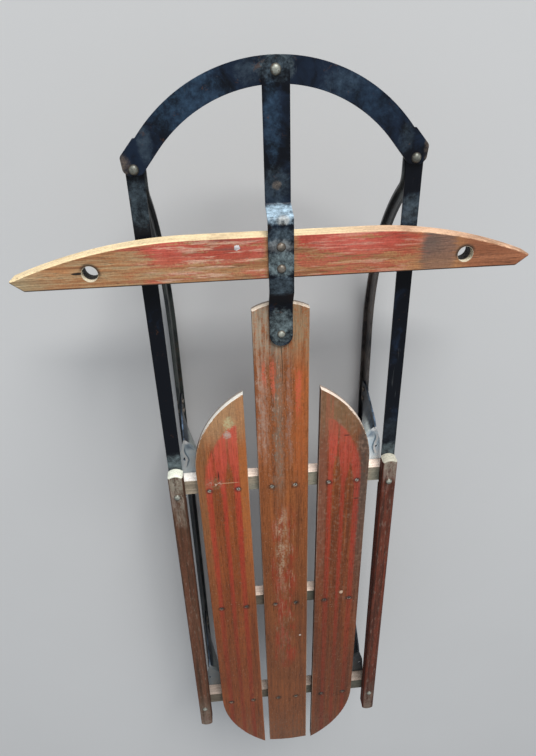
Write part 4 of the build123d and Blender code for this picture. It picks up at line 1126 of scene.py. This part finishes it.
def sink_ring(made, edges, place, level):
    """One countersink: the ring of a hole drawn down and in, and closed below."""
    sunk = bmesh.ops.extrude_edge_only(made, edges=edges)["geom"]
    verts = [item for item in sunk if isinstance(item, bmesh.types.BMVert)]
    shrink = SCREW_HEAD_R / SCREW_HOLE_R
    for vert in verts:
        vert.co = Vector((place[0] + (vert.co.x - place[0]) * shrink,
                          place[1] + (vert.co.y - place[1]) * shrink, level - SCREW_SINK))
    lower = [item for item in sunk if isinstance(item, bmesh.types.BMEdge)]
    bmesh.ops.contextual_create(made, geom=lower)


def add_screw(made, place, level, turn):
    """One screw head with a slot, sitting low in its countersink."""
    foot = level - SCREW_DROP - SCREW_TALL
    for side in (-1, 1):
        head = bmesh.ops.create_circle(made, cap_ends=True, segments=SCREW_SIDES, radius=SCREW_HEAD_R)
        verts = head["verts"]
        face = verts[0].link_faces[0]
        cut = bmesh.ops.bisect_plane(made, geom=[face, *face.edges, *face.verts],
                                     plane_co=(0, side * SCREW_SLOT / 2, 0), plane_no=(0, -side, 0),
                                     clear_outer=True)
        kept = [item for item in cut["geom"] if isinstance(item, bmesh.types.BMFace)]
        raised = bmesh.ops.extrude_face_region(made, geom=kept)["geom"]
        moved = [item for item in raised if isinstance(item, bmesh.types.BMVert)]
        base = {vert for item in kept if item.is_valid for vert in item.verts}
        bmesh.ops.translate(made, verts=moved, vec=(0, 0, SCREW_TALL))
        spin = Matrix.Translation((*place, foot)) @ Matrix.Rotation(turn, 4, "Z")
        bmesh.ops.transform(made, matrix=spin, verts=list(base | set(moved)))


def add_boards():
    """The three boards, and their screws as one piece."""
    screws = bmesh.new()
    turn = SCREW_TURN_FIRST
    plans = (("center_board", center_board_paint(), CENTER_SCREW_XS),
             ("left_board", side_board_paint("left"), [-x for x in SIDE_SCREW_XS]),
             ("right_board", side_board_paint("right"), SIDE_SCREW_XS))
    for name, material, xs in plans:
        places = [(x, y) for x in xs for y in SCREW_ROWS]
        made = cad_copy(name)
        sink_screws(made, DECK_TOP, places)
        piece(name + "_look", made, material, "frame", [name])
        for place in places:
            add_screw(screws, place, DECK_TOP, turn)
            turn += SCREW_TURN_STEP
    bmesh.ops.recalc_face_normals(screws, faces=screws.faces)
    piece("deck_screws", screws, screw_paint(), "frame")


# Other wooden pieces

def add_wood():
    """Benches and cleat with eased edges, the rails and the steering bar."""
    bench = bench_paint()
    for name in ("front_bench", "middle_cleat", "rear_bench"):
        cad_piece(name, bench, "frame", BENCH_EDGE)
    for side, _ in SIDES:
        cad_piece(side + "_rail", rail_paint(side), "frame")
    cad_piece("steering_bar", bar_paint(), "steering")


# Steel pieces and their spots of rubbed and dusty paint, painted highlight and painted sheen: place, reach
# across and along, colour, share

STEP_Y = 406.5 * MM         # where the strap steps down from the bar
RAIL_X = 135.4 * MM         # the rail bolts
BOW_END_Y = BOW_LOW.y + 8 * MM
TEAL_DUST = rgb(0.165, 0.215, 0.230)
PALE_DUST = rgb(0.260, 0.270, 0.270)
SLATE_DUST = rgb(0.105, 0.150, 0.185)
# Blue dust and painted sheen, on the bow's top and on the strap over it
BLUE_DUST_AND_SHEEN = rgb(0.042, 0.088, 0.150)
BROWN_DUST = rgb(0.200, 0.155, 0.120)
# Painted highlight where the strap's step faces the light
STEP_PAINTED_HIGHLIGHT = rgb(0.390, 0.530, 0.650)
STEP_TAN = rgb(0.48, 0.44, 0.38)

STRAP_RUBS_AND_HIGHLIGHTS = (
    # Painted highlight across the step
    ((0, STEP_Y), 40 * MM, 7.5 * MM, STEP_PAINTED_HIGHLIGHT, 1.0),
    ((2 * MM, STEP_Y - 3 * MM), 8 * MM, 5 * MM, STEP_TAN, 0.7),
    ((0, BAR_HIGH.y - 2 * MM), 18 * MM, 12 * MM, SLATE_DUST, 0.70),
    ((0, BAR_HIGH.y - 10 * MM), 16 * MM, 8 * MM, PALE_DUST, 0.65),
    ((0, BAR_Y - 5 * MM), 18 * MM, 14 * MM, TEAL_DUST, 0.95),
    ((0, BAR_LOW.y - 8 * MM), 16 * MM, 12 * MM, SLATE_DUST, 0.45),
    ((0, PIVOT_Y + 8 * MM), 16 * MM, 24 * MM, TEAL_DUST, 0.90),
    ((-2 * MM, STEP_Y + 24 * MM), 14 * MM, 22 * MM, SLATE_DUST, 0.28),
    ((-1 * MM, STEP_Y + 25 * MM), 5 * MM, 5 * MM, BROWN_DUST, 0.60),
    ((0, BOW_HIGH.y - 8 * MM), 16 * MM, 16 * MM, SLATE_DUST, 0.60),
    ((-4 * MM, BOW_HIGH.y - 52 * MM), 9 * MM, 44 * MM, BLUE_DUST_AND_SHEEN, 0.42),
)
BOW_RUBS_AND_SHEEN = (
    ((-0.080, BOW_HIGH.y - 34 * MM), 46 * MM, 34 * MM, BLUE_DUST_AND_SHEEN, 0.46),
    ((0.085, BOW_HIGH.y - 34 * MM), 50 * MM, 30 * MM, BLUE_DUST_AND_SHEEN, 0.22),
    ((0.0, BOW_HIGH.y - 10 * MM), 19 * MM, 17 * MM, TEAL_DUST, 0.50),
    ((-0.022, BOW_HIGH.y - 12 * MM), 16 * MM, 12 * MM, SLATE_DUST, 0.25),
    ((0.060, BOW_HIGH.y - 24 * MM), 22 * MM, 12 * MM, SLATE_DUST, 0.12),
    ((-0.122, BOW_END_Y + 20 * MM), 8 * MM, 20 * MM, SLATE_DUST, 0.22),
    ((-0.145, BOW_END_Y + 2 * MM), 8 * MM, 12 * MM, BROWN_DUST, 0.55),
    ((0.124, BOW_END_Y + 16 * MM), 8 * MM, 16 * MM, SLATE_DUST, 0.20),
    ((0.146, BOW_END_Y + 6 * MM), 5 * MM, 16 * MM, BROWN_DUST, 0.50),
)
LINK_RUBS = (
    ((-RAIL_X, RAIL_FRONT_Y + 8 * MM), 18 * MM, 16 * MM, TEAL_DUST, 0.60),
    ((RAIL_X, RAIL_FRONT_Y + 6 * MM), 18 * MM, 12 * MM, TEAL_DUST, 0.50),
    ((RAIL_X, RAIL_FRONT_Y + 34 * MM), 14 * MM, 20 * MM, SLATE_DUST, 0.12),
    ((-RAIL_X, BOW_END_Y - 34 * MM), 14 * MM, 28 * MM, SLATE_DUST, 0.40),
    ((RAIL_X, BOW_END_Y - 52 * MM), 14 * MM, 18 * MM, SLATE_DUST, 0.45),
)


def add_steel():
    """Strap, bow, side straps and knees, in paint with its own rubbed and dusty spots, painted highlight and
    painted sheen on each.
    """
    strap = steel_paint("strap_steel", 2.0, blue=0.55, slate=0.25, rubs_and_highlights=STRAP_RUBS_AND_HIGHLIGHTS)
    cad_piece("steering_strap", strap, "steering", STRIP_EDGE)
    bow = steel_paint("bow_steel", 5.0, blue=0.70, slate=0.22, rubs_and_highlights=BOW_RUBS_AND_SHEEN)
    cad_piece("bow", bow, "bow", STRIP_EDGE)
    links = steel_paint("side_strap_steel", 8.0, blue=0.3, slate=-0.08, rubs_and_highlights=LINK_RUBS)
    for side, _ in SIDES:
        cad_piece(side + "_side_strap", links, side + "_link", THIN_EDGE)
    for knee in KNEE_PAINTED_LIGHT:
        cad_piece(knee, knee_paint(knee), "frame", THIN_EDGE)


def add_rivets():
    """Rivets and bolts: pale at the pivot and rails, dark at the bar and runners, dull at the bow's ends."""
    dull = rivet_paint("bow_rivet_metal", RIVET_PALE, 0.85, end_shade=0.5)
    pale = rivet_paint("rivet_metal", RIVET_PALE, 0.85)
    dark = rivet_paint("bolt_metal", RIVET_DARK, 0.75)
    cad_piece("bow_rivets", dull, "bow")
    cad_piece("pivot_rivet", pale, "frame")
    cad_piece("bar_bolts", dark, "steering")
    cad_piece("rail_bolts", pale, "frame")
    cad_piece("runner_rivets", dark, "frame")


# Runners: one length each, because it bends from the front knee to where its front end turns up

RUNNER_GAP_Y = (RUNNER_REAR[1].y + RUNNER_FRONT[0].y) / 2
NEAR_GAP = 2 * MM
CUT_SQUARE = 0.99           # how squarely a face looks along the sled if it is a cut end
BEND_STEP = 8 * MM
SOLE_LEVEL = 12 * MM
SOLE_DOWN = -0.85           # how far down a face looks if it is sole


def whole_runner(side):
    """Both CAD lengths of a runner joined over the saw gap, cut across for the bend, its sole marked."""
    made = cad_copy(side + "_runner_rear", side + "_runner_front")
    ends = [face for face in made.faces if abs(face.normal.y) > CUT_SQUARE
            and abs(face.calc_center_median().y - RUNNER_GAP_Y) < NEAR_GAP]
    rims = [edge for edge in made.edges if sum(face in ends for face in edge.link_faces) == 1]
    bmesh.ops.delete(made, geom=ends, context="FACES_ONLY")
    bmesh.ops.bridge_loops(made, edges=rims)
    bmesh.ops.recalc_face_normals(made, faces=made.faces)
    ease_edges(made, THIN_EDGE)
    cuts = int((RUNNER_FRONT[1].y - RUNNER_GAP_Y) / BEND_STEP)
    for cut in range(cuts):
        bmesh.ops.bisect_plane(made, geom=made.verts[:] + made.edges[:] + made.faces[:],
                               plane_co=(0, RUNNER_GAP_Y + cut * BEND_STEP, 0), plane_no=(0, 1, 0))
    sole = made.faces.layers.float.new("sole")
    for face in made.faces:
        if face.normal.z < SOLE_DOWN and face.calc_center_median().z < SOLE_LEVEL:
            face[sole] = 1.0
    return made


def add_runners():
    """Both runners, each one piece over both CAD lengths, with its place baked into the mesh."""
    material = runner_paint()
    for side, sign in SIDES:
        nodes = [side + "_runner_rear", side + "_runner_front"]
        runner = piece(side + "_runner_look", whole_runner(side), material, stands_for=nodes)
        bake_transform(runner)


add_boards()
add_wood()
add_steel()
add_rivets()
add_runners()


# Stage: a plain pale floor, one soft light ahead of the bow, pale air, and the photograph's camera

FLOOR_TONES = (rgb(0.60, 0.61, 0.62), rgb(0.64, 0.65, 0.66))
FLOOR_SIZE = 30.0
FLOOR_DROP = 0.3 * MM

KEY_AT = Vector((1.2, 6.2, 3.6))
KEY_SIZE = 3.2
KEY_WATTS = 560
KEY_COLOUR = (1.0, 0.985, 0.955)

AIR_COLOUR = (0.86, 0.90, 0.95, 1.0)
AIR_STRENGTH = 0.42

CAMERA_AT = Vector((-0.0530, 0.5431, 0.6911))
CAMERA_FORWARD = Vector((0.0583, -0.5035, -0.8620)).normalized()
CAMERA_UP = Vector((0.0653, 0.8636, -0.5000)).normalized()
CAMERA_NEAREST = 0.02
FOCAL_PIXELS = 560
IMAGE_TALL = 756
SENSOR = 36.0


def add_floor():
    """The floor, a little below the soles."""
    paint = Paint("floor_plain", Roughness=0.85, Specular_IOR_Level=0.2)
    cloud = paint.noise(paint.place, 3, detail=3)
    paint.feed(Base_Color=paint.mix(*FLOOR_TONES, cloud))
    made = bmesh.new()
    bmesh.ops.create_grid(made, x_segments=1, y_segments=1, size=FLOOR_SIZE)
    mesh = bpy.data.meshes.new("floor")
    made.to_mesh(mesh)
    made.free()
    mesh.materials.append(paint.material)
    floor = bpy.data.objects.new("floor", mesh)
    floor.location.z = -FLOOR_DROP
    bpy.context.scene.collection.objects.link(floor)


def add_key_light():
    """A broad, slightly warm light that looks at the sled."""
    light = bpy.data.lights.new("key", "AREA")
    light.size = KEY_SIZE
    light.energy = KEY_WATTS
    light.color = KEY_COLOUR
    lamp = bpy.data.objects.new("key", light)
    lamp.location = KEY_AT
    lamp.rotation_mode = "QUATERNION"
    lamp.rotation_quaternion = (-KEY_AT).to_track_quat("-Z", "Y")
    bpy.context.scene.collection.objects.link(lamp)


def add_air():
    """Even, pale light from all round."""
    world = bpy.data.worlds.new("studio")
    world.use_nodes = True
    bpy.context.scene.world = world
    back = world.node_tree.nodes["Background"]
    back.inputs["Color"].default_value = AIR_COLOUR
    back.inputs["Strength"].default_value = AIR_STRENGTH


def add_camera():
    """The photograph's viewpoint: over the bow, looking down and back along the deck."""
    lens = bpy.data.cameras.new("camera")
    lens.sensor_width = SENSOR
    lens.lens = SENSOR * FOCAL_PIXELS / IMAGE_TALL
    lens.clip_start = CAMERA_NEAREST
    camera = bpy.data.objects.new("camera", lens)
    right = CAMERA_FORWARD.cross(CAMERA_UP).normalized()
    up = right.cross(CAMERA_FORWARD)
    turn = Matrix((right, up, -CAMERA_FORWARD)).transposed()
    camera.matrix_world = Matrix.Translation(CAMERA_AT) @ turn.to_4x4()
    bpy.context.scene.collection.objects.link(camera)
    bpy.context.scene.camera = camera


add_floor()
add_key_light()
add_air()
add_camera()
bpy.context.scene.view_settings.view_transform = "Standard"
